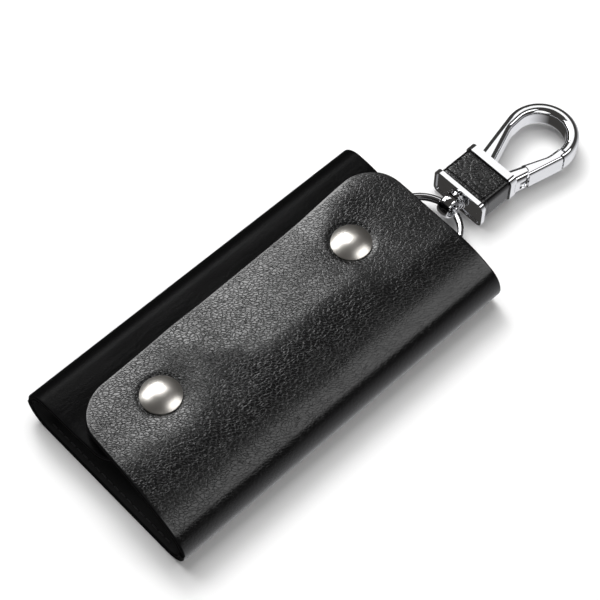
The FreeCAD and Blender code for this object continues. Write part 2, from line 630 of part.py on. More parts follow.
def make_gate():
    """Gate cut from the loop, its eye between the frame's cheeks, and its pin and spring."""
    x, y = GATE_PIVOT
    low, high = CHAIN_Z - HOOK_HALF_HEIGHT, CHAIN_Z + HOOK_HALF_HEIGHT
    eye_low = CHAIN_Z - GATE_SLOT_HALF + GATE_EYE_REST
    eye_high = CHAIN_Z - SLIDING_GAP
    gate = pear_ring(GATE_ROUND).common(gate_room(0.0, 0.0))
    gate = gate.cut(gate_upright(GATE_TAIL_RADIUS, -THROUGH, THROUGH))
    gate = gate.cut(box(x - 5, x + GATE_BODY_START, y - 6, y + 6, -1, 10))
    eye = gate_upright(GATE_EYE_RADIUS, eye_low, eye_high)
    length, left, right = GATE_NECK
    neck = box(x, x + length, y + left, y + right, eye_low, eye_high)
    gate = gate.fuse(eye).fuse(neck).cut(gate_upright(GATE_PIN_RADIUS + SLIDING_GAP, -THROUGH, THROUGH))
    export("gate", whole(gate))
    export("gate_pin", gate_upright(GATE_PIN_RADIUS, low, high))
    coil_at = V(x, y, eye_high + SPRING_REST + SPRING_WIRE)
    up = Z_AXIS
    turns = [Part.makeTorus(SPRING_RADIUS, SPRING_WIRE, coil_at + up * (SPRING_PITCH * i), up)
             for i in range(SPRING_TURNS)]
    leg = cylinder(SPRING_WIRE, coil_at + V(0, SPRING_RADIUS, 0), X_AXIS, SPRING_LEG)
    spring = whole(turns[0].multiFuse(turns[1:] + [leg]))
    export("gate_spring", spring)


make_case_shell()
make_snaps()
make_key_plate()
for number, row in key_rows():
    export("key_hook_%d" % number, key_hook(row))
    export("key_latch_%d" % number, key_latch(row))
make_ring()
make_ring_tab()
make_swivel_eye()
make_hook_frame(make_keeper())
make_gate()
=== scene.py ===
import json
import logging
import math
from dataclasses import dataclass
from enum import Enum
from typing import Callable, Sequence

import bpy
from mathutils import Matrix, Vector, noise


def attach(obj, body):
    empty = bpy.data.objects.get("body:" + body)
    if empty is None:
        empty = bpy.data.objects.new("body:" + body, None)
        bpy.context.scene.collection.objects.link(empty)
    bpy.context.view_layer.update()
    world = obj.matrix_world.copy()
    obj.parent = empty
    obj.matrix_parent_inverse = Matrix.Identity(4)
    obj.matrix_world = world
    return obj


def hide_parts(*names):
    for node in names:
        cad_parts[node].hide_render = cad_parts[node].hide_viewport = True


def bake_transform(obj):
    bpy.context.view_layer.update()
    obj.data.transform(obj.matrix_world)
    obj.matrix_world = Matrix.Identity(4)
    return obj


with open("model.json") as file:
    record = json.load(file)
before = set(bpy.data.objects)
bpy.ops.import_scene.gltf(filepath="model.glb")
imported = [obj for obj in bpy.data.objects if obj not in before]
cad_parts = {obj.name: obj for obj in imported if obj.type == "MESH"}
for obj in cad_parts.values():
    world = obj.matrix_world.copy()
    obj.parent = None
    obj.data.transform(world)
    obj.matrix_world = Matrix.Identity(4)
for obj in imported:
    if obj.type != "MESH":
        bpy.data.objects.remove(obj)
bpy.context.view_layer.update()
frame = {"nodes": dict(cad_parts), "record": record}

MM = 0.001
Point = tuple[float, float, float]


# ---------------------------------------------------------------- shader maths

class Value:
    """A shader socket that can be used in Python expressions."""

    def __init__(self, tree: "Shader", socket: bpy.types.NodeSocket) -> None:
        """Wrap one output socket of a tree.

        Args:
            tree: The shader that new Math nodes are added to.
            socket: The output socket.
        """
        self.tree = tree
        self.socket = socket

    def math(self, operation: str, *others: "Value | float") -> "Value":
        """Add a Math node that starts with this value.

        Args:
            operation: The Math node's operation.
            others: Its remaining inputs.

        Returns:
            The node's result.
        """
        return self.tree.add("Math", {"operation": operation}, (self, *others))

    def __add__(self, other: "Value | float") -> "Value":
        """Sum."""
        return self.math("ADD", other)

    __radd__ = __add__

    def __sub__(self, other: "Value | float") -> "Value":
        """Difference."""
        return self.math("SUBTRACT", other)

    def __rsub__(self, other: float) -> "Value":
        """Reflected difference."""
        return self.tree.add("Math", {"operation": "SUBTRACT"}, (other, self))

    def __mul__(self, other: "Value | float") -> "Value":
        """Product."""
        return self.math("MULTIPLY", other)

    __rmul__ = __mul__

    def between(self, low: float, high: float) -> "Value":
        """A smooth step from 0 at low to 1 at high."""
        settings = {"interpolation_type": "SMOOTHSTEP"}
        return self.tree.add("MapRange", settings, (self, low, high, 0.0, 1.0))


class Shader:
    """A material's node tree around one Principled shader."""

    def __init__(self, name: str) -> None:
        """Start an empty material.

        Args:
            name: The material's name.
        """
        self.material = bpy.data.materials.new(name)
        self.material.use_nodes = True
        self.nodes = self.material.node_tree.nodes
        self.links = self.material.node_tree.links
        self.surface = self.nodes["Principled BSDF"]

    def add(self, kind: str, settings: dict[str, object] | None = None,
            inputs: "Sequence[object] | dict[str, object]" = (), output: str | int = 0) -> Value:
        """Add a node.

        Args:
            kind: The node type after "ShaderNode".
            settings: Properties that are set before the sockets.
            inputs: Values or links, in socket order or by socket name.
            output: Which output to return.

        Returns:
            The chosen output.
        """
        node = self.nodes.new("ShaderNode" + kind)
        for key, value in (settings or {}).items():
            setattr(node, key, value)
        pairs = inputs.items() if isinstance(inputs, dict) else enumerate(inputs)
        for key, value in pairs:
            self.feed(node.inputs[key], value)
        return Value(self, node.outputs[output])

    def feed(self, socket: bpy.types.NodeSocket, value: object) -> None:
        """Link a value to a socket, or set the socket's own value.

        Args:
            socket: The input.
            value: A link, a constant, or None to leave the socket alone.
        """
        if isinstance(value, Value):
            self.links.new(value.socket, socket)
        elif value is not None:
            socket.default_value = value

    def set(self, **sockets: object) -> None:
        """Feed the Principled shader.

        Args:
            sockets: A value for each socket by name, with underscores for spaces.
        """
        for name, value in sockets.items():
            self.feed(self.surface.inputs[name.replace("_", " ")], value)

    def vector(self, operation: str, *inputs: "Value | Point") -> Value:
        """Add a Vector Math node and return its result."""
        return self.add("VectorMath", {"operation": operation}, inputs)

    def flat(self) -> Value:
        """The surface's own flat coordinates, in millimetres."""
        return self.add("UVMap", {"uv_map": "flat"})

    def place(self) -> Value:
        """The place in the object, in millimetres."""
        spot = self.add("TexCoord", output="Object")
        return self.add("VectorMath", {"operation": "SCALE"}, {0: spot, "Scale": 1.0 / MM})

    def noise(self, at: Value, scale: float, detail: float = 2.0, color: bool = False) -> Value:
        """Noise at a place.

        Args:
            at: Coordinates.
            scale: Features per coordinate unit.
            detail: Octaves.
            color: Whether to return the three-channel output.

        Returns:
            The noise.
        """
        inputs = {"Vector": at, "Scale": scale, "Detail": detail}
        return self.add("TexNoise", {}, inputs, "Color" if color else "Fac")

    def attribute(self, name: str) -> Value:
        """A number kept on the mesh's points."""
        return self.add("Attribute", {"attribute_name": name}, (), "Fac")

    def blend_color(self, factor: Value, low: Point, high: Point) -> Value:
        """Mix two colours.

        Args:
            factor: Share of the second colour.
            low: The first colour.
            high: The second colour.

        Returns:
            The mixed colour.
        """
        settings = {"data_type": "RGBA"}
        inputs = {0: factor, 6: (*low, 1.0), 7: (*high, 1.0)}
        return self.add("Mix", settings, inputs, 2)

    def bump(self, height: Value, depth: float) -> Value:
        """A bumped normal, where a height of 1 stands for a depth in metres."""
        return self.add("Bump", {}, {"Height": height, "Distance": depth, "Strength": 1.0})


# ---------------------------------------------------------------- finishes

@dataclass(frozen=True)
class PebbledLeather:
    """Near-black semi-gloss leather with a creased grain; all sizes follow its flat millimetres."""

    name: str = "pebbled_leather"
    ground: Point = (0.0011, 0.0011, 0.0012)
    crown: Point = (0.0028, 0.0028, 0.003)
    crown_share: float = 0.75
    cells_per_mm: float = 1.15
    lean: float = -0.75
    stretch: Point = (0.6, 1.3, 1.0)
    drift: float = 2.6
    jitter: float = 1.1
    randomness: float = 0.95
    crease_width: float = 0.21
    crease_depth: tuple[float, float] = (0.4, 1.1)
    swell: float = 0.5
    minor_crease: float = 0.08
    minor_ratio: float = 2.3
    minor_width: float = 0.3
    pore: float = 0.03
    pores_per_mm: float = 5.0
    fold_stretch: Point = (0.16, 1.25, 1.0)
    fold_depth: float = 0.7
    depth: float = 0.043 * MM
    shine: float = 0.55
    gloss: float = 0.215
    crease_haze: float = 0.12
    cloud_haze: float = 0.06

    def bent(self, s: Shader) -> Value:
        """Flat coordinates that wander, so that no two pebbles match.

        Args:
            s: The shader.

        Returns:
            The coordinates.
        """
        flat = s.flat()
        drift = s.vector("SUBTRACT", s.noise(flat, 0.16, 2.0, color=True), (0.5, 0.5, 0.5))
        wander = s.vector("MULTIPLY_ADD", drift, (self.drift, self.drift, 0.0), flat)
        shake = s.noise(flat, 1.1, 1.0, color=True)
        return s.vector("MULTIPLY_ADD", shake, (self.jitter, self.jitter, 0.0), wander)

    def creases(self, s: Shader, at: Value, cells: float, width: float,
                randomness: float) -> Value:
        """Pebbles of height 1 between creases of height 0.

        Args:
            s: The shader.
            at: Coordinates.
            cells: Pebbles per coordinate unit.
            width: Width of a crease, as a share of a pebble.
            randomness: How uneven the pebbles are, up to 1.

        Returns:
            The height.
        """
        settings = {"feature": "DISTANCE_TO_EDGE", "voronoi_dimensions": "2D"}
        inputs = {"Vector": at, "Scale": cells, "Randomness": randomness}
        return s.add("TexVoronoi", settings, inputs, "Distance").between(0.0, width)

    def make(self) -> bpy.types.Material:
        """Build the material."""
        s = Shader(self.name)
        flat = s.flat()
        bent = self.bent(s)
        turned = s.add("VectorRotate", {"rotation_type": "Z_AXIS"},
                       {"Vector": bent, "Angle": self.lean})
        at = s.vector("MULTIPLY", turned, self.stretch)
        creases = self.creases(s, at, self.cells_per_mm, self.crease_width, self.randomness)
        minor = self.creases(s, at, self.cells_per_mm * self.minor_ratio, self.minor_width, 1.0)
        uneven = s.noise(flat, 0.32, 3.0)
        swell = s.noise(at, 0.85, 1.0)
        least, more = self.crease_depth
        height = (creases * (least + more * uneven) + self.swell * swell
                  + self.minor_crease * minor
                  + self.pore * s.noise(flat, self.pores_per_mm, 2.0))
        grain = s.attribute("grain")
        wrinkled = s.vector("MULTIPLY", bent, self.fold_stretch)
        folds = s.noise(wrinkled, 0.9, 3.0).between(0.35, 0.65)
        height = height * grain + s.attribute("wrinkle") * folds * self.fold_depth
        rough = (self.gloss + self.crease_haze * (1.0 - creases) * grain
                 + self.cloud_haze * (s.noise(flat, 0.05, 2.0) - 0.5))
        tone = self.crown_share * creases * grain + (1.0 - self.crown_share) * uneven
        s.set(Base_Color=s.blend_color(tone, self.ground, self.crown), Roughness=rough,
              Normal=s.bump(height, self.depth), Specular_IOR_Level=self.shine)
        return s.material


@dataclass(frozen=True)
class PaintedEdge:
    """Smooth black edge paint with slight waves."""

    name: str = "painted_edge"
    color: Point = (0.0018, 0.0018, 0.002)
    gloss: float = 0.45
    haze: float = 0.2
    wave_depth: float = 0.03 * MM
    shine: float = 0.07

    def make(self) -> bpy.types.Material:
        """Build the material."""
        s = Shader(self.name)
        at = s.place()
        wave = s.noise(at, 0.5, 2.0)
        lighter = tuple(c * 2.0 for c in self.color)
        s.set(Base_Color=s.blend_color(wave, self.color, lighter),
              Roughness=self.gloss + self.haze * wave,
              Normal=s.bump(s.noise(at, 2.2, 2.0), self.wave_depth),
              Specular_IOR_Level=self.shine)
        return s.material


@dataclass(frozen=True)
class LiningLeather:
    """Smooth matt black lining with faint grain."""

    name: str = "lining_leather"
    color: Point = (0.004, 0.004, 0.0042)
    gloss: float = 0.58
    haze: float = 0.2
    grain_depth: float = 0.05 * MM
    shine: float = 0.35

    def make(self) -> bpy.types.Material:
        """Build the material."""
        s = Shader(self.name)
        flat = s.flat()
        cloudy = s.noise(flat, 0.12, 3.0)
        fine = s.noise(flat, 3.5, 3.0)
        lighter = tuple(c * 1.8 for c in self.color)
        s.set(Base_Color=s.blend_color(cloudy, self.color, lighter),
              Roughness=self.gloss + self.haze * fine,
              Normal=s.bump(fine, self.grain_depth), Specular_IOR_Level=self.shine)
        return s.material


@dataclass(frozen=True)
class Thread:
    """Waxed black thread with a visible twist."""

    name: str = "waxed_thread"
    color: Point = (0.012, 0.012, 0.013)
    gloss: float = 0.4
    haze: float = 0.2
    twist_depth: float = 0.05 * MM

    def make(self) -> bpy.types.Material:
        """Build the material."""
        s = Shader(self.name)
        twist = s.add("TexWave", {"bands_direction": "DIAGONAL"},
                      {"Vector": s.place(), "Scale": 2.6, "Distortion": 0.6}, "Fac")
        lighter = tuple(c * 3.0 for c in self.color)
        s.set(Base_Color=s.blend_color(twist, self.color, lighter),
              Roughness=self.gloss + self.haze * twist, Normal=s.bump(twist, self.twist_depth))
        return s.material


@dataclass(frozen=True)
class Plated:
    """Plated and polished metal, with faint haze and handling marks."""

    name: str
    color: Point
    shade: Point
    gloss: float
    haze: float
    ripple: float = 0.004

    def make(self) -> bpy.types.Material:
        """Build the material."""
        s = Shader(self.name)
        at = s.place()
        cloud = s.noise(at, 0.35, 3.0)
        marks = s.noise(at, 4.0, 4.0).between(0.45, 0.8)
        s.set(Base_Color=s.blend_color(cloud, self.shade, self.color), Metallic=1.0,
              Roughness=self.gloss + self.haze * marks,
              Normal=s.bump(s.noise(at, 0.6, 1.0), self.ripple * MM))
        return s.material


class Finish(Enum):
    """The finishes of the case and its hardware, with the record slot each one belongs to."""

    LEATHER = "black_leather"
    # Painted shade: a copy of the black leather with its reflection turned down, used on the inner
    # flap.
    SHADED_LEATHER = "shaded_leather"
    EDGE = "edge_paint"
    LINING = "lining"
    THREAD = "thread"
    CAP = "cap_nickel"
    NICKEL = "nickel_steel"
    SPRING = "spring_steel"
    RING = "ring_steel"
    CHROME = "hardware_chrome"


RECIPES = {
    Finish.LEATHER: PebbledLeather(),
    # Painted shade: the same leather recipe, rougher and with almost no reflection, so the inner
    # flap reads dark.
    Finish.SHADED_LEATHER: PebbledLeather("shaded_leather", gloss=0.34, shine=0.05),
    Finish.EDGE: PaintedEdge(),
    Finish.LINING: LiningLeather(),
    Finish.THREAD: Thread(),
    Finish.CAP: Plated("satin_nickel", (0.84, 0.81, 0.765), (0.76, 0.73, 0.68), 0.28, 0.06),
    Finish.NICKEL: Plated("nickel_plate", (0.74, 0.72, 0.68), (0.6, 0.58, 0.55), 0.2, 0.12),
    Finish.SPRING: Plated("spring_strip", (0.6, 0.6, 0.62), (0.5, 0.5, 0.52), 0.3, 0.15),
    Finish.RING: Plated("ring_steel", (0.84, 0.84, 0.85), (0.74, 0.74, 0.76), 0.07, 0.06),
    Finish.CHROME: Plated("mirror_chrome", (0.88, 0.885, 0.9), (0.8, 0.805, 0.82), 0.05, 0.05),
}
MATERIALS = {finish: recipe.make() for finish, recipe in RECIPES.items()}


# ---------------------------------------------------------------- mesh helpers

def new_piece(name: str, points: Sequence[Point], faces: Sequence[Sequence[int]],
              finishes: Sequence[Finish], slots: Sequence[int] | None = None) -> bpy.types.Object:
    """Make a smooth-shaded mesh object.

    Args:
        name: The piece's name.
        points: Vertices in metres.
        faces: Vertex numbers of each face.
        finishes: The finish of each material slot.
        slots: Material slot of each face; all use the first slot if left out.

    Returns:
        The object, linked to the scene.
    """
    mesh = bpy.data.meshes.new(name)
    mesh.from_pydata([tuple(p) for p in points], [], [tuple(f) for f in faces])
    for finish in finishes:
        mesh.materials.append(MATERIALS[finish])
    if slots is not None:
        mesh.polygons.foreach_set("material_index", list(slots))
    mesh.polygons.foreach_set("use_smooth", [True] * len(mesh.polygons))
    mesh.update()
    piece = bpy.data.objects.new(name, mesh)
    bpy.context.scene.collection.objects.link(piece)
    return piece


def sweep(name: str, path: Sequence[Vector], frames: Sequence[tuple[Vector, Vector]],
          section: Sequence[tuple[float, float]], finish: Finish, closed: bool) -> bpy.types.Object:
    """Sweep a closed section along a path, with end caps where the path is open.

    Args:
        name: The piece's name.
        path: Points along the middle.
        frames: At each point, the two directions that the section's coordinates run along.
        section: The section's outline, in metres.
        finish: The piece's finish.
        closed: Whether the path closes on itself.

    Returns:
        The swept piece.
    """
    count, ring = len(path), len(section)
    points = [p + a * u + b * v for p, (a, b) in zip(path, frames) for u, v in section]
    spans = count if closed else count - 1
    faces = []
    for i in range(spans):
        here, there = i * ring, (i + 1) % count * ring
        for j in range(ring):
            k = (j + 1) % ring
            faces.append((here + j, here + k, there + k, there + j))
    if not closed:
        faces.append(tuple(range(ring))[::-1])
        faces.append(tuple((count - 1) * ring + j for j in range(ring)))
    piece = new_piece(name, points, faces, [finish])
    tidy_normals(piece)
    return piece


def tidy_normals(piece: bpy.types.Object, sharp_degrees: float = 40.0) -> None:
    """Turn all faces outwards and keep sharp edges crisp.

    Args:
        piece: A closed piece.
        sharp_degrees: The angle from which an edge counts as sharp.
    """
    bpy.context.view_layer.objects.active = piece
    piece.select_set(True)
    bpy.ops.object.mode_set(mode="EDIT")
    bpy.ops.mesh.select_all(action="SELECT")
    bpy.ops.mesh.normals_make_consistent(inside=False)
    bpy.ops.object.mode_set(mode="OBJECT")
    piece.data.set_sharp_from_angle(angle=math.radians(sharp_degrees))
    piece.select_set(False)


def lay_flat(piece: bpy.types.Object, flats: Sequence[tuple[float, float]],
             scale: float = 1.0) -> None:
    """Keep each point's flat coordinates on a piece.

    Args:
        piece: The piece.
        flats: Flat coordinates of its points, in millimetres.
        scale: How much finer the grain is.
    """
    layer = piece.data.uv_layers.new(name="flat")
    spots = [flats[loop.vertex_index] for loop in piece.data.loops]
    layer.data.foreach_set("uv", [n * scale for spot in spots for n in spot])


def oval(half_width: float, half_height: float, steps: int = 24) -> list[tuple[float, float]]:
    """Outline of an ellipse, centred on the origin."""
    angles = [2 * math.pi * i / steps for i in range(steps)]
    return [(half_width * math.cos(a), half_height * math.sin(a)) for a in angles]


def lathe(name: str, profile: Sequence[tuple[float, float]], origin: Vector, along: Vector,
          finish: Finish, steps: int = 64) -> bpy.types.Object:
    """Turn a profile of (distance along, radius) about an axis; its ends lie on the axis.

    Args:
        name: The piece's name.
        profile: The outline from one end on the axis to the other.
        origin: The axis's start.
        along: The axis's direction.
        finish: The piece's finish.
        steps: Divisions round the axis.

    Returns:
        The turned piece.
    """
    side = along.orthogonal().normalized()
    other = along.cross(side)
    points = [origin + along * profile[0][0]]
    for distance, radius in profile[1:-1]:
        for i in range(steps):
            angle = 2 * math.pi * i / steps
            spoke = side * math.cos(angle) + other * math.sin(angle)
            points.append(origin + along * distance + spoke * radius)
    points.append(origin + along * profile[-1][0])
    faces = []
    rings = len(profile) - 2
    for i in range(steps):
        j = (i + 1) % steps
        faces.append((0, 1 + j, 1 + i))
        last = 1 + (rings - 1) * steps
        faces.append((last + i, last + j, len(points) - 1))
        for r in range(rings - 1):
            a, b = 1 + r * steps, 1 + (r + 1) * steps
            faces.append((a + i, a + j, b + j, b + i))
    piece = new_piece(name, points, faces, [finish])
    tidy_normals(piece)
    return piece


def rounded_section(half_width: float, half_height: float, corner: float,
                    steps: int = 4) -> list[tuple[float, float]]:
    """Outline of a rectangle with round corners, centred on the origin.

    Args:
        half_width: Half its width.
        half_height: Half its height.
        corner: Radius of its corners.
        steps: Divisions of each corner.

    Returns:
        Its points, anticlockwise.
    """
    outline = []
    for quarter, (sx, sy) in enumerate(((1, 1), (-1, 1), (-1, -1), (1, -1))):
        for i in range(steps + 1):
            angle = math.pi / 2 * (quarter + i / steps)
            outline.append((sx * (half_width - corner) + corner * math.cos(angle),
                            sy * (half_height - corner) + corner * math.sin(angle)))
    return outline


def smooth(value: float, low: float, high: float) -> float:
    """A smooth step from 0 at low to 1 at high; the two may be in either order."""
    t = min(1.0, max(0.0, (value - low) / (high - low)))
    return t * t * (3 - 2 * t)


def bell(value: float, middle: float, width: float) -> float:
    """A bell curve of height 1."""
    return math.exp(-((value - middle) / width) ** 2)


def spread(start: float, end: float, step: float) -> list[float]:
    """Evenly spaced numbers from one up to, but not including, another.

    Args:
        start: The first number.
        end: The number that they stop short of.
        step: About how far apart they are.

    Returns:
        The numbers.
    """
    count = max(1, round(abs(end - start) / step))
    return [start + (end - start) * i / count for i in range(count)]


# ---------------------------------------------------------------- leather case

@dataclass(frozen=True)
class Stop:
    """A point of a fold's outline: place across and up, outward direction, length so far."""

    across: float
    up: float
    out: float
    rise: float
    run: float


@dataclass(frozen=True)
class CaseSizes:
    """Driving sizes of the case, in millimetres, as the CAD model has them."""

    length: float = 120.0
    half_flat: float = 25.0
    leather: float = 1.3
    lining: float = 0.7
    right_radius: float = 7.0
    left_radius: float = 7.2
    outer_leaves: float = 155.0
    outer_top: float = 17.0
    outer_rise_end: float = -12.0
    outer_flat_end: float = 11.0
    outer_tip: tuple[float, float] = (20.8, 16.5)
    inner_top: float = 13.5
    inner_flat_start: float = 11.0
    inner_tip: float = -3.0
    snap_x: float = 35.4
    snap_y: float = 3.8
    cap_radius: float = 5.9
    tip_degrees: float = -6.0
    seam_degrees: float = 90.0


SIZES = CaseSizes()


class Outline:
    """The outer line of one side of the case, from the middle of its back to the flap's tip."""

    def __init__(self, side: int) -> None:
        """Trace the line.

        Args:
            side: -1 for the right fold and outer flap, 1 for the left fold and inner flap.
        """
        self.side = side
        self.stops: list[Stop] = []
        self.seam = 0
        radius = SIZES.right_radius if side < 0 else SIZES.left_radius
        leaves = SIZES.outer_leaves if side < 0 else 180.0
        centre = (side * SIZES.half_flat, radius)
        for y in spread(0.0, SIZES.half_flat, 1.0):
            self._add(side * y, 0.0, 0.0, -1.0)
        for degrees in spread(0.0, SIZES.seam_degrees, 3.0):
            self._add_arc(centre, radius, degrees)
        self.seam = len(self.stops)
        for degrees in spread(SIZES.seam_degrees, leaves, 3.0):
            self._add_arc(centre, radius, degrees)
        angle = math.radians(leaves)
        start = (centre[0] + side * radius * math.sin(angle), radius - radius * math.cos(angle))
        if side < 0:
            rise_end = (SIZES.outer_rise_end, SIZES.outer_top)
            self._add_eased(start, rise_end, 180.0 - leaves, 0.0)
            for y in spread(SIZES.outer_rise_end, SIZES.outer_flat_end, 0.6):
                self._add(y, SIZES.outer_top, 0.0, 1.0)
            self._add_eased((SIZES.outer_flat_end, SIZES.outer_top), SIZES.outer_tip, 0.0,
                            SIZES.tip_degrees)
            tip = math.radians(-SIZES.tip_degrees)
            self._add(*SIZES.outer_tip, math.sin(tip), math.cos(tip))
        else:
            self._add_eased(start, (SIZES.inner_flat_start, SIZES.inner_top), 0.0, 0.0)
            for y in spread(SIZES.inner_flat_start, SIZES.inner_tip, 0.6):
                self._add(y, SIZES.inner_top, 0.0, 1.0)
            self._add(SIZES.inner_tip, SIZES.inner_top, 0.0, 1.0)

    def _add(self, across: float, up: float, out: float, rise: float) -> None:
        """Add one stop and keep its length along the line.

        Args:
            across: Its place across the case.
            up: Its height.
            out: How far its outward direction points across.
            rise: How far its outward direction points up.
        """
        run = 0.0
        if self.stops:
            last = self.stops[-1]
            run = last.run + math.hypot(across - last.across, up - last.up)
        self.stops.append(Stop(across, up, out, rise, run))

    def _add_arc(self, centre: tuple[float, float], radius: float, degrees: float) -> None:
        """Add a stop on the fold.

        Args:
            centre: The fold's centre, across and up.
            radius: Its outer radius.
            degrees: The stop's angle from straight down.
        """
        out = self.side * math.sin(math.radians(degrees))
        rise = -math.cos(math.radians(degrees))
        self._add(centre[0] + radius * out, centre[1] + radius * rise, out, rise)

    def _add_eased(self, start: tuple[float, float], end: tuple[float, float],
                   start_degrees: float, end_degrees: float) -> None:
        """Add stops on a cubic between two slopes, up to but not including its end.

        Args:
            start: Where it starts, across and up.
            end: Where it ends.
            start_degrees: How steeply it climbs at its start.
            end_degrees: How steeply it climbs at its end.
        """
        reach = math.dist(start, end)
        way = -self.side
        heads = [(way * math.cos(math.radians(d)), math.sin(math.radians(d)))
                 for d in (start_degrees, end_degrees)]
        for u in spread(0.0, 1.0, 0.6 / reach):
            h1 = 3 * u ** 2 - 2 * u ** 3
            g0, g1 = reach * (u ** 3 - 2 * u ** 2 + u), reach * (u ** 3 - u ** 2)
            d1 = 6 * u - 6 * u ** 2
            e0, e1 = reach * (3 * u ** 2 - 4 * u + 1), reach * (3 * u ** 2 - 2 * u)
            spot = [start[k] * (1 - h1) + end[k] * h1 + heads[0][k] * g0 + heads[1][k] * g1
                    for k in (0, 1)]
            step = [(end[k] - start[k]) * d1 + heads[0][k] * e0 + heads[1][k] * e1
                    for k in (0, 1)]
            size = math.hypot(*step)
            self._add(*spot, -way * step[1] / size, way * step[0] / size)


@dataclass(frozen=True)
class Flap:
    """The cut shape of one flap in plan: end lines and a rounded free edge, in millimetres."""

    near_root: float
    near_tip: float
    far_root: float
    far_tip: float
    tip_near: float
    tip_far: float
    corner: float

    def ends(self, y: float, root: float) -> tuple[float, float]:
        """The near and far ends of the leather at a place across the case.

        Args:
            y: The place.
            root: Where the flap leaves its fold.

        Returns:
            Both ends.
        """
        tip = (self.tip_near + self.tip_far) / 2
        share = (y - root) / (tip - root)
        near = self.near_root + (self.near_tip - self.near_root) * share
        far = self.far_root + (self.far_tip - self.far_root) * share
        return near, far


OUTER_FLAP = Flap(-59.6, -56.3, 59.9, 59.7, 17.6, 20.4, 12.0)
INNER_FLAP = Flap(-59.6, -58.2, 59.9, 59.2, -3.0, -3.0, 8.0)


@dataclass(frozen=True)
class Shape:
    """Where the closed case's leather stands proud of its plain outline, or is pressed in."""

    puff: float = 1.05
    middle_puff: float = 0.35
    far_puff: float = 0.4
    root_y: float = -21.0
    crest_y: float = -5.5
    near_dip: float = 14.0
    near_dip_at: tuple[float, float] = (-19.5, 8.5)
    far_dip: float = 31.0
    far_dip_span: tuple[float, float] = (27.0, 43.0)
    middle_at: tuple[float, float] = (2.0, 24.0)
    far_span: tuple[float, float] = (38.0, 52.0)
    fall_slope: float = 0.021
    fall_ease: float = 7.0
    corner_lift: float = 0.5
    corner_along: tuple[float, float] = (36.0, 46.0)
    corner_across: tuple[float, float] = (7.0, 21.0)
    calm_radius: float = 9.0
    dent: float = 0.25
    dent_width: float = 0.55
    wave: float = 0.12
    wave_start: tuple[float, float] = (-28.0, -18.0)
    inner_wave: float = 0.14
    inner_start: tuple[float, float] = (10.0, 16.0)
    inner_end: tuple[float, float] = (-27.0, -22.0)
    lowest: float = -0.3

    def crest(self, x: float) -> float:
        """Where across the case the outer flap is highest, at a place along it."""
        dip = self.near_dip * bell(x, *self.near_dip_at)
        return self.crest_y + dip + self.far_dip * smooth(x, *self.far_dip_span)

    def outer(self, x: float, y: float) -> float:
        """Height added to the outer flap.

        Args:
            x: Place along the case.
            y: Place across it.

        Returns:
            The height, in millimetres.
        """
        crest = self.crest(x)
        fall = y - crest
        height = (self.puff + self.middle_puff * bell(x, *self.middle_at)
                  + self.far_puff * smooth(x, *self.far_span))
        eased = fall + math.hypot(fall, self.fall_ease)
        lift = height * (smooth(y, self.root_y, crest + 2.0) - self.fall_slope * eased)
        lift += (self.corner_lift * smooth(x, *self.corner_along)
                 * smooth(y, *self.corner_across))
        for snap in (-SIZES.snap_x, SIZES.snap_x):
            away = math.hypot(x - snap, y - SIZES.snap_y)
            lift *= 1.0 - bell(away, 0.0, self.calm_radius)
            lift -= self.dent * bell(away, SIZES.cap_radius, self.dent_width)
        drift = noise.noise((x * 0.05, y * 0.08, 3.7))
        return max(lift + self.wave * drift * smooth(y, *self.wave_start), self.lowest)

    def inner(self, x: float, y: float) -> float:
        """Height added to the inner flap.

        Args:
            x: Place along the case.
            y: Place across it.

        Returns:
            The height, in millimetres.
        """
        drift = noise.noise((x * 0.05, y * 0.22, 1.3))
        shown = smooth(y, *self.inner_start) * smooth(-y, *self.inner_end)
        return self.inner_wave * drift * shown


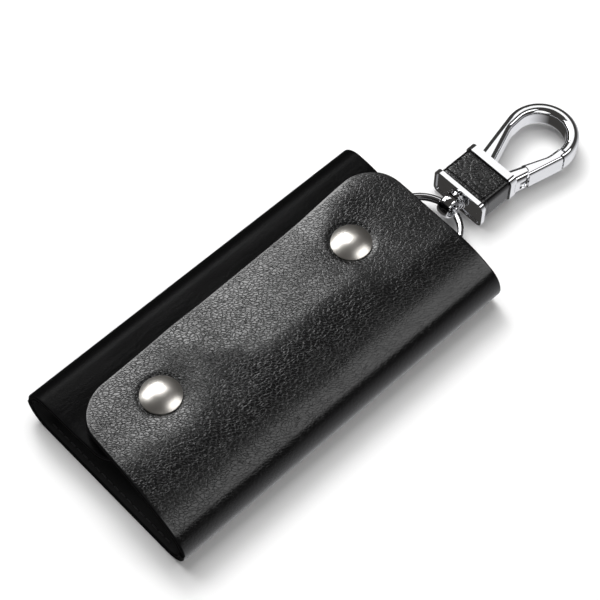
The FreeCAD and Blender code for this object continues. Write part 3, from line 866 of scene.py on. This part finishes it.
class Sheet:
    """One closed layer of leather between two depths below an outline, cut to a plan."""

    edge_steps = (0.0, 0.07, 0.17, 0.3, 0.46, 0.7, 1.0, 1.4, 1.9, 2.6, 3.4)
    middle_steps = 170
    corner_steps = 22
    edge_radius = 0.46
    lower_rounding = 0.5
    painted = 0.5
    shear_reach = 30.0
    fold_grain = 0.5
    inner_grain = 0.3
    edge_grain = 0.15
    far_loss = 0.35
    far_span = (-25.0, 45.0)
    wrinkles_at = (5.5, 4.5)

    def __init__(self, name: str, outline: Outline, flap: Flap | None, first: int, last: int,
                 depths: tuple[float, float], finishes: tuple[Finish, Finish],
                 lift: Callable[[float, float], float] | None) -> None:
        """Describe the layer.

        Args:
            name: The piece's name.
            outline: The side's outer line.
            flap: The flap's cut, or None on the back panel.
            first: The first stop that the layer covers.
            last: The last stop that it covers.
            depths: How far below the outline its two faces lie, in millimetres.
            finishes: Finish of its faces and of its cut edges.
            lift: Height added by place, where the leather isn't on its plain outline.
        """
        self.name = name
        self.outline = outline
        self.flap = flap
        self.stops = outline.stops[first:last + 1]
        self.depths = depths
        self.finishes = finishes
        self.lift = lift

    def rows(self) -> list[tuple[Stop, float, float]]:
        """Each row across the layer.

        Returns:
            Its stop, and how far its two ends are set in.
        """
        if self.flap is None:
            return [(stop, 0.0, 0.0) for stop in self.stops]
        corner = self.flap.corner
        tip_run = self.stops[-1].run
        rows = [(stop, 0.0, 0.0) for stop in self.stops if stop.run < tip_run - corner - 0.3]
        for i in range(self.corner_steps + 1):
            angle = math.pi / 2 * i / self.corner_steps
            run = tip_run - corner + corner * math.sin(angle)
            inset = corner * (1 - math.cos(angle))
            rows.append((self.at(run), inset, inset))
        return rows

    def at(self, run: float) -> Stop:
        """The outline's stop at a length, between its own stops.

        Args:
            run: Length along the outline.

        Returns:
            The stop.
        """
        stops = self.outline.stops
        for a, b in zip(stops, stops[1:]):
            if run <= b.run + 1e-9:
                t = (run - a.run) / (b.run - a.run)
                mix = [getattr(a, k) + (getattr(b, k) - getattr(a, k)) * t
                       for k in ("across", "up", "out", "rise")]
                return Stop(*mix, run)
        return stops[-1]

    def columns(self, near: float, far: float) -> list[float]:
        """Places along a row, closer together at its two ends.

        Args:
            near: The row's near end.
            far: Its far end.

        Returns:
            The places.
        """
        start, end = near + self.edge_steps[-1], far - self.edge_steps[-1]
        middle = [start + (end - start) * i / self.middle_steps
                  for i in range(1, self.middle_steps)]
        return ([near + e for e in self.edge_steps] + middle
                + [far - e for e in reversed(self.edge_steps)])

    def ends(self, stop: Stop) -> tuple[float, float]:
        """The near and far ends of the layer at a stop.

        Args:
            stop: The row's stop.

        Returns:
            Both ends.
        """
        half = SIZES.length / 2
        if self.flap is None:
            return -half, half
        root = self.outline.side * (SIZES.half_flat + SIZES.right_radius)
        return self.flap.ends(stop.across, root)

    def build(self) -> bpy.types.Object:
        """Make the closed mesh with its flat coordinates and its grain and wrinkle marks.

        Returns:
            The piece.
        """
        rows = self.rows()
        tip_run = self.stops[-1].run
        corner = self.flap.corner if self.flap else 0.0
        top, bottom, marks, flats = [], [], [], []
        for stop, near_in, far_in in rows:
            near, far = self.ends(stop)
            near_end, far_end = near + near_in, far - far_in
            for x in self.columns(near_end, far_end):
                shear = 0.0
                if self.flap:
                    slant = (self.flap.tip_far - self.flap.tip_near) / SIZES.length
                    bias = (self.flap.tip_far + self.flap.tip_near) / 2 - self.stops[-1].across
                    reach = smooth(stop.run, tip_run - self.shear_reach, tip_run)
                    shear = (slant * x + bias) * reach
                edge = self.edge_distance(x, stop, near, far, corner, tip_run)
                lift = self.lift(x, stop.across + shear) if self.lift else 0.0
                rounding = self.rounding(edge)
                faces = []
                for depth, sign in zip(self.depths, (1, -1)):
                    sunk = depth + sign * rounding * (1.0 if sign > 0 else self.lower_rounding)
                    y = stop.across + shear - sunk * stop.out
                    z = stop.up + lift - sunk * stop.rise
                    faces.append((x * MM, y * MM, z * MM))
                top.append(faces[0])
                bottom.append(faces[1])
                flats.append((x, self.outline.side * stop.run))
                marks.append(edge)
        return self.close(top, bottom, flats, marks, len(rows))

    def edge_distance(self, x: float, stop: Stop, near: float, far: float, corner: float,
                      tip_run: float) -> float:
        """How far a place is from the nearest cut edge.

        Args:
            x: The place along the case.
            stop: The row's stop.
            near: The row's near end, before its corner is rounded.
            far: Its far end.
            corner: Radius of the flap's corners.
            tip_run: Length of the outline up to the flap's tip.

        Returns:
            The distance, in millimetres.
        """
        from_ends = min(x - near, far - x)
        if self.flap is None:
            return from_ends
        from_tip = tip_run - stop.run
        if from_ends < corner and from_tip < corner:
            return corner - math.hypot(corner - from_ends, corner - from_tip)
        return min(from_ends, from_tip)

    @classmethod
    def rounding(cls, edge: float) -> float:
        """How far the face falls away near a cut edge.

        Args:
            edge: Distance from the edge.

        Returns:
            The fall, in millimetres.
        """
        radius = cls.edge_radius
        if edge >= radius:
            return 0.0
        return radius - math.sqrt(max(0.0, radius ** 2 - (radius - edge) ** 2))

    def close(self, top: list[Point], bottom: list[Point], flats: list[tuple[float, float]],
              marks: list[float], row_count: int) -> bpy.types.Object:
        """Join both faces along the rim into one closed piece.

        Args:
            top: Points of the outer face, row by row.
            bottom: Points of the inner face.
            flats: Flat coordinates of each point.
            marks: Distance of each point from a cut edge.
            row_count: How many rows there are.

        Returns:
            The piece.
        """
        width = len(top) // row_count
        count = len(top)
        faces, slots = [], []
        for i in range(row_count - 1):
            for j in range(width - 1):
                a, b = i * width + j, (i + 1) * width + j
                painted = max(marks[k] for k in (a, a + 1, b, b + 1)) < self.painted
                faces.append((a, a + 1, b + 1, b))
                faces.append((count + a, count + b, count + b + 1, count + a + 1))
                slots += [int(painted)] * 2
        rim = list(range(width))
        rim += [i * width + width - 1 for i in range(1, row_count)]
        rim += [(row_count - 1) * width + j for j in range(width - 2, -1, -1)]
        rim += [i * width for i in range(row_count - 2, 0, -1)]
        for a, b in zip(rim, rim[1:] + rim[:1]):
            faces.append((a, count + a, count + b, b))
            slots.append(1)
        piece = new_piece(self.name, top + bottom, faces, self.finishes, slots)
        tidy_normals(piece, 52.0)
        lay_flat(piece, flats + flats)
        spots = list(zip(flats + flats, marks + marks))
        self.mark(piece.data, "grain", [self.grain(*spot) for spot in spots])
        self.mark(piece.data, "wrinkle", [self.wrinkle(*spot) for spot in spots])
        return piece

    @staticmethod
    def mark(mesh: bpy.types.Mesh, name: str, values: Sequence[float]) -> None:
        """Keep a number on each point."""
        layer = mesh.attributes.new(name, "FLOAT", "POINT")
        layer.data.foreach_set("value", values)

    def grain(self, flat: tuple[float, float], edge: float) -> float:
        """How deep the grain is: full on the flap's face, fine on the folds and at edges.

        Args:
            flat: The point's flat coordinates.
            edge: Its distance from a cut edge.

        Returns:
            Its share of the full depth.
        """
        fold_end = SIZES.half_flat + math.pi * SIZES.right_radius
        flatter = smooth(abs(flat[1]), fold_end - 2.0, fold_end + 10.0)
        depth = self.fold_grain + (1.0 - self.fold_grain) * flatter
        depth *= 1.0 - self.far_loss * smooth(flat[0], *self.far_span)
        if self.outline.side > 0:
            depth = self.inner_grain
        inside = smooth(edge, 0.5, 1.5)
        return depth * (self.edge_grain + (1.0 - self.edge_grain) * inside)

    def wrinkle(self, flat: tuple[float, float], edge: float) -> float:
        """How strong the long wrinkles are: only on the inner flap, beside the outer one.

        Args:
            flat: The point's flat coordinates.
            edge: Its distance from a cut edge.

        Returns:
            The strength, up to 1.
        """
        if self.outline.side < 0:
            return 0.0
        away, width = self.wrinkles_at
        fold_end = SIZES.half_flat + math.pi * SIZES.left_radius
        return bell(flat[1], fold_end + away, width) * smooth(edge, 0.5, 2.0)


class Case:
    """The folded case: leather, lining and stitches."""

    bend_inset = 1.0
    stitch_pitch = 2.6
    stitch_length = 1.9
    stitch_radius = 0.19
    stitch_inset = 1.9
    stitch_margin = 1.5

    def __init__(self) -> None:
        """Trace the two sides."""
        self.right = Outline(-1)
        self.left = Outline(1)
        self.shape = Shape()

    def build(self) -> list[bpy.types.Object]:
        """Build both sides and the stitches, and put the stitches on the case's body.

        Returns:
            The pieces.
        """
        made = []
        for outline, label, body, flap, lift in (
                (self.right, "right", "outer_flap", OUTER_FLAP, self.shape.outer),
                (self.left, "left", "inner_flap", INNER_FLAP, self.shape.inner)):
            spine = label + "_spine"
            side = outline.side
            # The inner flap gets the dulled copy of the leather, which paints shade on it.
            face = Finish.LEATHER if side < 0 else Finish.SHADED_LEATHER
            last = len(outline.stops) - 1
            for layer, depths, finishes in (
                    ("leather", (0.0, SIZES.leather), (face, Finish.EDGE)),
                    ("lining", (SIZES.leather, SIZES.leather + SIZES.lining),
                     (Finish.LINING, Finish.EDGE))):
                back = Sheet("back_%s_%s" % (label, layer), outline, None, 0, outline.seam,
                             depths, finishes, None).build()
                front = Sheet("%s_%s_skin" % (body, layer), outline, flap, outline.seam, last,
                              depths, finishes, lift).build()
                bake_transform(back)
                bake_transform(front)
                replaced = [spine + "_" + layer]
                if label == "right":
                    replaced.append("back_" + layer)
                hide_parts(*replaced)
                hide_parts("%s_%s" % (body, layer))
                for piece in (back, front):
                    "black_leather" if layer == "leather" else "lining"
                    made.append(piece)
        made.append(self.stitches())
        return made

    def stitches(self) -> bpy.types.Object:
        """Rows of stitches through the back panel, beside its two open ends.

        Returns:
            The stitches, as one piece.
        """
        floor = SIZES.leather + SIZES.lining
        reach = int((SIZES.half_flat - self.stitch_margin) / self.stitch_pitch)
        seam = SIZES.length / 2 - self.stitch_inset
        points, faces = [], []
        for x in (-seam, seam):
            for i in range(-reach, reach + 1):
                middle = Vector((x, i * self.stitch_pitch, floor))
                add_stitch(points, faces, middle, Vector((0.0, 1.0, 0.0)),
                           self.stitch_length, self.stitch_radius)
        piece = new_piece("edge_stitches", [p * MM for p in points], faces, [Finish.THREAD])
        tidy_normals(piece, 60.0)
        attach(piece, "case")
        return piece


def add_stitch(points: list[Vector], faces: list[Sequence[int]], middle: Vector, along: Vector,
               length: float, radius: float) -> None:
    """Add one stitch: a short thread that arches out of its two holes.

    Args:
        points: Points that the stitch's own are added to.
        faces: Faces that the stitch's own are added to.
        middle: The middle of the stitch, on the leather.
        along: The direction of the seam.
        length: Distance between its holes.
        radius: Radius of the thread.
    """
    up = Vector((0.0, 0.0, 1.0))
    side = along.cross(up)
    steps, ring = 8, 8
    first = len(points)
    for i in range(steps + 1):
        t = i / steps * 2 - 1
        centre = middle + along * (t * length / 2) + up * (radius * (1.3 - 1.9 * t ** 4))
        for j in range(ring):
            angle = 2 * math.pi * j / ring
            points.append(centre + (side * math.cos(angle) + up * math.sin(angle)) * radius)
    for i in range(steps):
        for j in range(ring):
            a, b = first + i * ring + j, first + i * ring + (j + 1) % ring
            faces.append((a, b, b + ring, a + ring))
    faces.append([first + j for j in range(ring)][::-1])
    faces.append([first + steps * ring + j for j in range(ring)])


# ---------------------------------------------------------------- ring, swivel, keeper

@dataclass(frozen=True)
class RingSizes:
    """Sizes of the split ring, in millimetres and degrees."""

    x: float = 59.2
    z: float = 4.3
    outer: float = 12.5
    wire: float = 1.8
    coil: float = 1.1
    rise: float = 0.6
    start_degrees: float = 112.0
    step_degrees: float = 26.0


@dataclass(frozen=True)
class EyeSizes:
    """Sizes of the swivel's eye, neck and shank, in millimetres."""

    x: float = 71.0
    middle: float = 3.0
    wire: float = 0.69
    half_width: float = 2.1
    neck_end: float = 74.3
    neck_length: float = 2.1
    root: float = 1.6
    beads: tuple[tuple[float, float, float, float], ...] = (
        (0.35, 0.85, 2.35, 0.25), (0.9, 1.5, 2.85, 0.3), (1.55, 2.05, 3.35, 0.25))
    shank: tuple[tuple[float, float], ...] = (
        (2.1, 1.5), (3.9, 1.5), (3.9, 2.4), (5.1, 2.4), (5.1, 0.0))


@dataclass(frozen=True)
class KeeperSizes:
    """Sizes of the leather round the keeper, in millimetres."""

    start: float = 75.9
    end: float = 87.3
    half: tuple[float, float] = (8.75, 4.5)
    corner: float = 1.9
    core: tuple[float, float] = (7.75, 3.5)
    core_corner: float = 0.9
    around: int = 150
    stations: int = 48
    edge_fall: float = 0.3
    line_at: float = 1.9
    line_depth: float = 0.13
    puff: float = 0.16
    clearance: float = 0.02
    grain_scale: float = 0.7
    grain: tuple[float, float] = (0.1, 0.95)


@dataclass(frozen=True)
class TabSizes:
    """Sizes of the strap round the split ring, in millimetres and degrees."""

    thick: float = 0.7
    half: float = 3.0
    start: float = 37.4
    join: float = 42.6
    loop_x: float = 47.85
    loop_radius: float = 2.3
    loop_end: float = 110.0
    leaf_top: float = 3.5
    bow: float = 0.35
    rim_steps: tuple[float, ...] = (0.0, 0.12, 0.3, 0.6)


class Chain:
    """The split ring, swivel eye, leather-wrapped keeper and ring tab, all on one line."""

    y = -0.9
    axis_z = 4.9
    ring = RingSizes()
    eye = EyeSizes()
    keeper = KeeperSizes()
    tab = TabSizes()

    def build(self) -> list[bpy.types.Object]:
        """Build every piece of the chain that the CAD model leaves plain."""
        return [self.split_ring(), self.swivel_eye(), self.keeper_wrap(), self.ring_tab()]

    def split_ring(self) -> bpy.types.Object:
        """A flat wire wound twice round, stepping up from one coil to the next."""
        c = self.ring
        centre = Vector((c.x, self.y, c.z))
        middle = c.outer - c.wire / 2
        step = math.radians(c.step_degrees)
        end = 4 * math.pi - step * 1.12
        path, frames = [], []
        count = 320
        for i in range(count + 1):
            turn = end * i / count
            climb = smooth(turn, 2 * math.pi - step, 2 * math.pi) * 2 - 1
            angle = math.radians(c.start_degrees) + turn
            spoke = Vector((math.cos(angle), math.sin(angle), 0.0))
            spot = centre + spoke * middle + Vector((0.0, 0.0, climb * c.rise))
            path.append(spot * MM)
            frames.append((spoke, Vector((0.0, 0.0, 1.0))))
        section = oval(c.wire / 2 * MM, c.coil / 2 * MM * 0.98)
        ring = sweep("split_ring_wire", path, frames, section, Finish.RING, closed=False)
        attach(ring, "ring")
        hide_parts("split_ring")
        return ring

    def swivel_eye(self) -> bpy.types.Object:
        """A broad round eye on a beaded neck, with the shank that the hook turns on."""
        c = self.eye
        centre = Vector((c.x, self.y, self.axis_z))
        path, frames = [], []
        for i in range(72):
            angle = 2 * math.pi * i / 72
            spoke = Vector((math.cos(angle), 0.0, math.sin(angle)))
            path.append((centre + spoke * c.middle) * MM)
            frames.append((spoke, Vector((0.0, 1.0, 0.0))))
        eye = sweep("swivel_eye_loop", path, frames, oval(c.wire * MM, c.half_width * MM),
                    Finish.CHROME, closed=True)
        start = Vector((c.x + c.middle - c.root, self.y, self.axis_z))
        profile = [(0.0, 0.0), (0.0, 1.5), (0.35, 2.0)]
        for bead in c.beads:
            profile += self.bead(*bead)
        profile += c.shank
        room = c.neck_end - start.x
        profile = [(a * room / c.neck_length if a <= c.neck_length else a - c.neck_length + room, r)
                   for a, r in profile]
        neck = lathe("swivel_neck", [(a * MM, r * MM) for a, r in profile], start * MM,
                     Vector((1.0, 0.0, 0.0)), Finish.CHROME)
        for piece in (eye, neck):
            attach(piece, "swivel")
        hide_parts("swivel_eye")
        return eye

    @staticmethod
    def bead(start: float, end: float, radius: float, bulge: float) -> list[tuple[float, float]]:
        """The rounded outline of one bead on the neck.

        Args:
            start: Where it starts along the neck.
            end: Where it ends.
            radius: Its largest radius.
            bulge: How far it stands out.

        Returns:
            Distances along and radii.
        """
        steps = 8
        outline = []
        for i in range(steps + 1):
            angle = math.pi * i / steps
            outline.append((start + (end - start) * (1 - math.cos(angle)) / 2,
                            radius - bulge + bulge * math.sin(angle)))
        return outline

    def keeper_wrap(self) -> bpy.types.Object:
        """The leather round the keeper: a puffed sleeve with a pressed line near its end."""
        c = self.keeper
        centre = Vector((c.start, self.y, self.axis_z))
        ring = self.even_outline(rounded_section(*c.half, c.corner, 8), c.around)
        inner = self.even_outline(rounded_section(*c.core, c.core_corner, 8), c.around)
        length = c.end - c.start
        stations = [length * i / c.stations for i in range(c.stations + 1)]
        points, flats, marks = [], [], []
        for along in stations:
            from_end = min(along, length - along)
            shrink = (c.edge_fall * (1 - smooth(from_end, 0.0, 0.5))
                      + c.line_depth * bell(along, c.line_at, 0.22))
            for run, (u, v) in ring:
                size = math.hypot(u, v)
                flat_top = smooth(abs(v), c.half[1] - 0.4, c.half[1])
                puff = -c.puff * flat_top * (abs(u) / c.half[0]) ** 2
                scale = (size - shrink + puff - c.clearance) / size
                points.append(centre + Vector((along, u * scale, v * scale)))
                flats.append((run, along))
                smoothed = 1 - bell(along, c.line_at, 0.35)
                marks.append(smooth(from_end, 0.3, 0.9) * smoothed * flat_top)
        for along in (0.0, length):
            for run, (u, v) in inner:
                points.append(centre + Vector((along, u, v)))
                flats.append((run, along))
                marks.append(0.0)
        count, width = len(stations), len(ring)
        faces = []
        order = list(range(count)) + [count + 1, count]
        for a, b in zip(order, order[1:] + order[:1]):
            for j in range(width):
                k = (j + 1) % width
                faces.append((a * width + j, a * width + k, b * width + k, b * width + j))
        wrap = new_piece("keeper_wrap", [p * MM for p in points], faces, [Finish.LEATHER])
        tidy_normals(wrap, 60.0)
        lay_flat(wrap, flats, c.grain_scale)
        least, more = c.grain
        Sheet.mark(wrap.data, "grain", [least + more * m for m in marks])
        Sheet.mark(wrap.data, "wrinkle", [0.0] * len(marks))
        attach(wrap, "hook")
        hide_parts("keeper_leather")
        return wrap

    @staticmethod
    def even_outline(outline: Sequence[tuple[float, float]],
                     count: int) -> list[tuple[float, tuple[float, float]]]:
        """Points evenly spaced round a closed outline.

        Args:
            outline: The outline's corners.
            count: How many points to make.

        Returns:
            Each point's length so far and its place.
        """
        closed = list(outline) + [outline[0]]
        runs = [0.0]
        for a, b in zip(closed, closed[1:]):
            runs.append(runs[-1] + math.dist(a, b))
        result = []
        k = 0
        for i in range(count):
            run = runs[-1] * i / count
            while runs[k + 1] < run:
                k += 1
            t = (run - runs[k]) / max(1e-9, runs[k + 1] - runs[k])
            spot = tuple(closed[k][n] + (closed[k + 1][n] - closed[k][n]) * t for n in (0, 1))
            result.append((run, spot))
        return result

    def ring_tab(self) -> bpy.types.Object:
        """The strap that is folded round the split ring and riveted to the back."""
        c = self.tab
        line = self.tab_line()
        across = [-c.half + e for e in c.rim_steps]
        rim = c.rim_steps[-1]
        across += [-c.half + rim + (2 * c.half - 2 * rim) * i / 8 for i in range(1, 8)]
        across += [c.half - e for e in reversed(c.rim_steps)]
        points, flats = [], []
        run = 0.0
        for i, (x, z, out, up) in enumerate(line):
            if i:
                run += math.dist(line[i - 1][:2], (x, z))
            size = math.hypot(out, up)
            for depth, sign in ((0.0, 1), (c.thick, -1)):
                for y in across:
                    sunk = (depth + sign * Sheet.rounding(c.half - abs(y)) * 0.6) / size
                    points.append(Vector((x - sunk * out, self.y + y, z - sunk * up)))
                    flats.append((run, y))
        width = len(across)
        ring = list(range(width)) + [width + j for j in range(width - 1, -1, -1)]
        last = (len(line) - 1) * 2 * width
        faces = [ring[::-1], [last + j for j in ring]]
        for a in range(0, last, 2 * width):
            b = a + 2 * width
            for j, k in zip(ring, ring[1:] + ring[:1]):
                faces.append((a + j, a + k, b + k, b + j))
        tab = new_piece("ring_tab_strap", [p * MM for p in points], faces, [Finish.LEATHER])
        tidy_normals(tab, 50.0)
        lay_flat(tab, flats)
        Sheet.mark(tab.data, "grain", [0.5] * len(points))
        Sheet.mark(tab.data, "wrinkle", [0.0] * len(points))
        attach(tab, "case")
        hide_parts("ring_tab")
        return tab

    def tab_line(self) -> list[tuple[float, float, float, float]]:
        """The strap's outer line from the side.

        Returns:
            Place along, height and outward direction of each point.
        """
        c = self.tab
        floor = SIZES.leather + SIZES.lining
        line = [(x, floor, 0.0, -1.0) for x in spread(c.start, c.loop_x, 0.6)]
        for degrees in spread(-90.0, c.loop_end, 8.0):
            out, up = math.cos(math.radians(degrees)), math.sin(math.radians(degrees))
            line.append((c.loop_x + c.loop_radius * out, self.ring.z + c.loop_radius * up, out, up))
        top = Vector(line[-1][:2])
        for t in spread(0.1, 1.0, 0.08):
            flatter = 1 - smooth(t, 0.0, 1.0)
            spot = top.lerp(Vector((c.join, c.leaf_top)), t)
            bow = c.bow * math.sin(math.pi * t) * (1 - 2 * t)
            line.append((spot.x, spot.y + bow, -0.5 * flatter, 1 - 0.4 * flatter))
        line += [(x, c.leaf_top, 0.0, 1.0) for x in spread(c.join, c.start, 0.6)]
        return line + [(c.start, c.leaf_top, 0.0, 1.0)]


# ---------------------------------------------------------------- hardware kept from CAD

class Hardware:
    """The metal nodes whose CAD shape is right, each given its finish."""

    slots = {finish.value: finish for finish in (
        Finish.CAP, Finish.NICKEL, Finish.SPRING, Finish.RING, Finish.CHROME)}

    def dress(self) -> list[str]:
        """Put each metal node's finish on it.

        Returns:
            The names of the dressed nodes.
        """
        dressed = []
        for part in frame["record"]["subparts"]:
            finish = self.slots.get(part["material_slot"])
            if finish:
                materials = frame["nodes"][part["node"]].data.materials
                materials.clear()
                materials.append(MATERIALS[finish])
                dressed.append(part["node"])
        return dressed


# ---------------------------------------------------------------- studio

@dataclass(frozen=True)
class Softbox:
    """One soft light: the way to it from the case, its distance, size and brightness."""

    name: str
    towards: Point
    distance: float
    size: tuple[float, float]
    radiance: float
    mirrored: bool = True

    def build(self) -> bpy.types.Object:
        """Place the light facing the case.

        Returns:
            The light.
        """
        data = bpy.data.lights.new(self.name, "AREA")
        data.shape = "RECTANGLE"
        data.size, data.size_y = self.size
        data.energy = self.radiance * math.pi * self.size[0] * self.size[1]
        light = bpy.data.objects.new(self.name, data)
        way = Vector(self.towards).normalized()
        light.location = Vector((0.01, 0.0, 0.01)) + way * self.distance
        side = Vector((1.0, 0.0, 0.0))
        side = (side - way * side.dot(way)).normalized()
        light.rotation_mode = "QUATERNION"
        turn = Matrix((side, way.cross(side), way)).transposed()
        light.rotation_quaternion = turn.to_quaternion()
        light.visible_glossy = self.mirrored
        bpy.context.scene.collection.objects.link(light)
        return light


class Studio:
    """Floor, lights, surroundings and camera."""

    softboxes = (
        Softbox("key_softbox", (0.297, 0.595, 0.747), 1.3, (0.315, 0.56), 10.2),
        Softbox("broad_softbox", (-0.06, 0.7, 0.71), 1.32, (0.76, 0.56), 3.4),
        Softbox("chain_softbox", (0.52, 0.388, 0.761), 1.3, (0.26, 0.3), 1.15),
        Softbox("side_softbox", (0.36, -0.37, 0.855), 1.3, (0.9, 0.42), 2.4),
        Softbox("front_fill", (-0.55, -0.6, 0.45), 1.5, (1.4, 1.0), 1.3),
        Softbox("floor_light", (0.25, 0.4, 0.88), 1.6, (1.5, 1.5), 2.9, False),
    )
    floor_half = 2.5
    floor_level = -0.02 * MM
    pale_way = (0.5, -0.5, -0.7)
    dim = (0.3, (0.05, 0.048, 0.046, 1.0))
    pale = (0.95, (0.85, 0.85, 0.87, 1.0))
    azimuth = 46.88
    elevation = 58.67
    roll = 0.195
    distance = 0.5406
    lens = 114.64
    target = (0.01713, 0.00542, 0.005)

    def build(self) -> None:
        """Build the whole studio."""
        self.floor()
        for softbox in self.softboxes:
            softbox.build()
        self.surroundings()
        self.camera()
        bpy.context.scene.view_settings.view_transform = "Standard"

    def floor(self) -> None:
        """A wide pale sheet that the case lies on, just clear of its back."""
        half = self.floor_half
        corners = [(x * half, y * half, self.floor_level)
                   for x, y in ((-1, -1), (1, -1), (1, 1), (-1, 1))]
        mesh = bpy.data.meshes.new("floor")
        mesh.from_pydata(corners, [], [(0, 1, 2, 3)])
        shader = Shader("white_sheet")
        tone = shader.noise(shader.place(), 0.004, 1.0)
        shader.set(Base_Color=shader.blend_color(tone, (0.9, 0.9, 0.9), (0.92, 0.92, 0.92)),
                   Roughness=0.9, Specular_IOR_Level=0.1)
        mesh.materials.append(shader.material)
        floor = bpy.data.objects.new("floor", mesh)
        floor.visible_glossy = False
        bpy.context.scene.collection.objects.link(floor)

    def surroundings(self) -> None:
        """A dim room that grows pale low down on the side of the gate."""
        world = bpy.data.worlds.new("room")
        bpy.context.scene.world = world
        world.use_nodes = True
        nodes, links = world.node_tree.nodes, world.node_tree.links
        background = nodes["Background"]
        spot = nodes.new("ShaderNodeTexCoord")
        lean = nodes.new("ShaderNodeVectorMath")
        lean.operation = "DOT_PRODUCT"
        lean.inputs[1].default_value = self.pale_way
        links.new(spot.outputs["Generated"], lean.inputs[0])
        ramp = nodes.new("ShaderNodeValToRGB")
        links.new(lean.outputs["Value"], ramp.inputs[0])
        for stop, (position, color) in zip(ramp.color_ramp.elements, (self.dim, self.pale)):
            stop.position, stop.color = position, color
        links.new(ramp.outputs[0], background.inputs["Color"])
        background.inputs["Strength"].default_value = 1.0

    def camera(self) -> None:
        """The camera, a little above and to the near right, turned by a slight roll."""
        turn, tilt = math.radians(self.azimuth), math.radians(self.elevation)
        look = Vector((math.cos(turn) * math.cos(tilt), math.sin(turn) * math.cos(tilt),
                       -math.sin(tilt)))
        data = bpy.data.cameras.new("camera")
        data.lens = self.lens
        data.sensor_width = 36.0
        data.clip_start, data.clip_end = 0.01, 20.0
        camera = bpy.data.objects.new("camera", data)
        camera.rotation_mode = "QUATERNION"
        level = look.to_track_quat("-Z", "Y")
        spin = Matrix.Rotation(math.radians(self.roll), 3, look)
        camera.rotation_quaternion = (spin @ level.to_matrix()).to_quaternion()
        camera.location = Vector(self.target) - look * self.distance
        bpy.context.scene.collection.objects.link(camera)
        bpy.context.scene.camera = camera


def main() -> None:
    """Build the case, its chain, its hardware and the studio, and report each piece."""
    logging.basicConfig(level=logging.INFO, format="%(message)s")
    for piece in Case().build():
        logging.info("case piece %s: %d faces", piece.name, len(piece.data.polygons))
    for piece in Chain().build():
        logging.info("chain piece %s: %d faces", piece.name, len(piece.data.polygons))
    for node in Hardware().dress():
        logging.info("dressed %s", node)
    Studio().build()


if __name__ == "__main__":
    main()
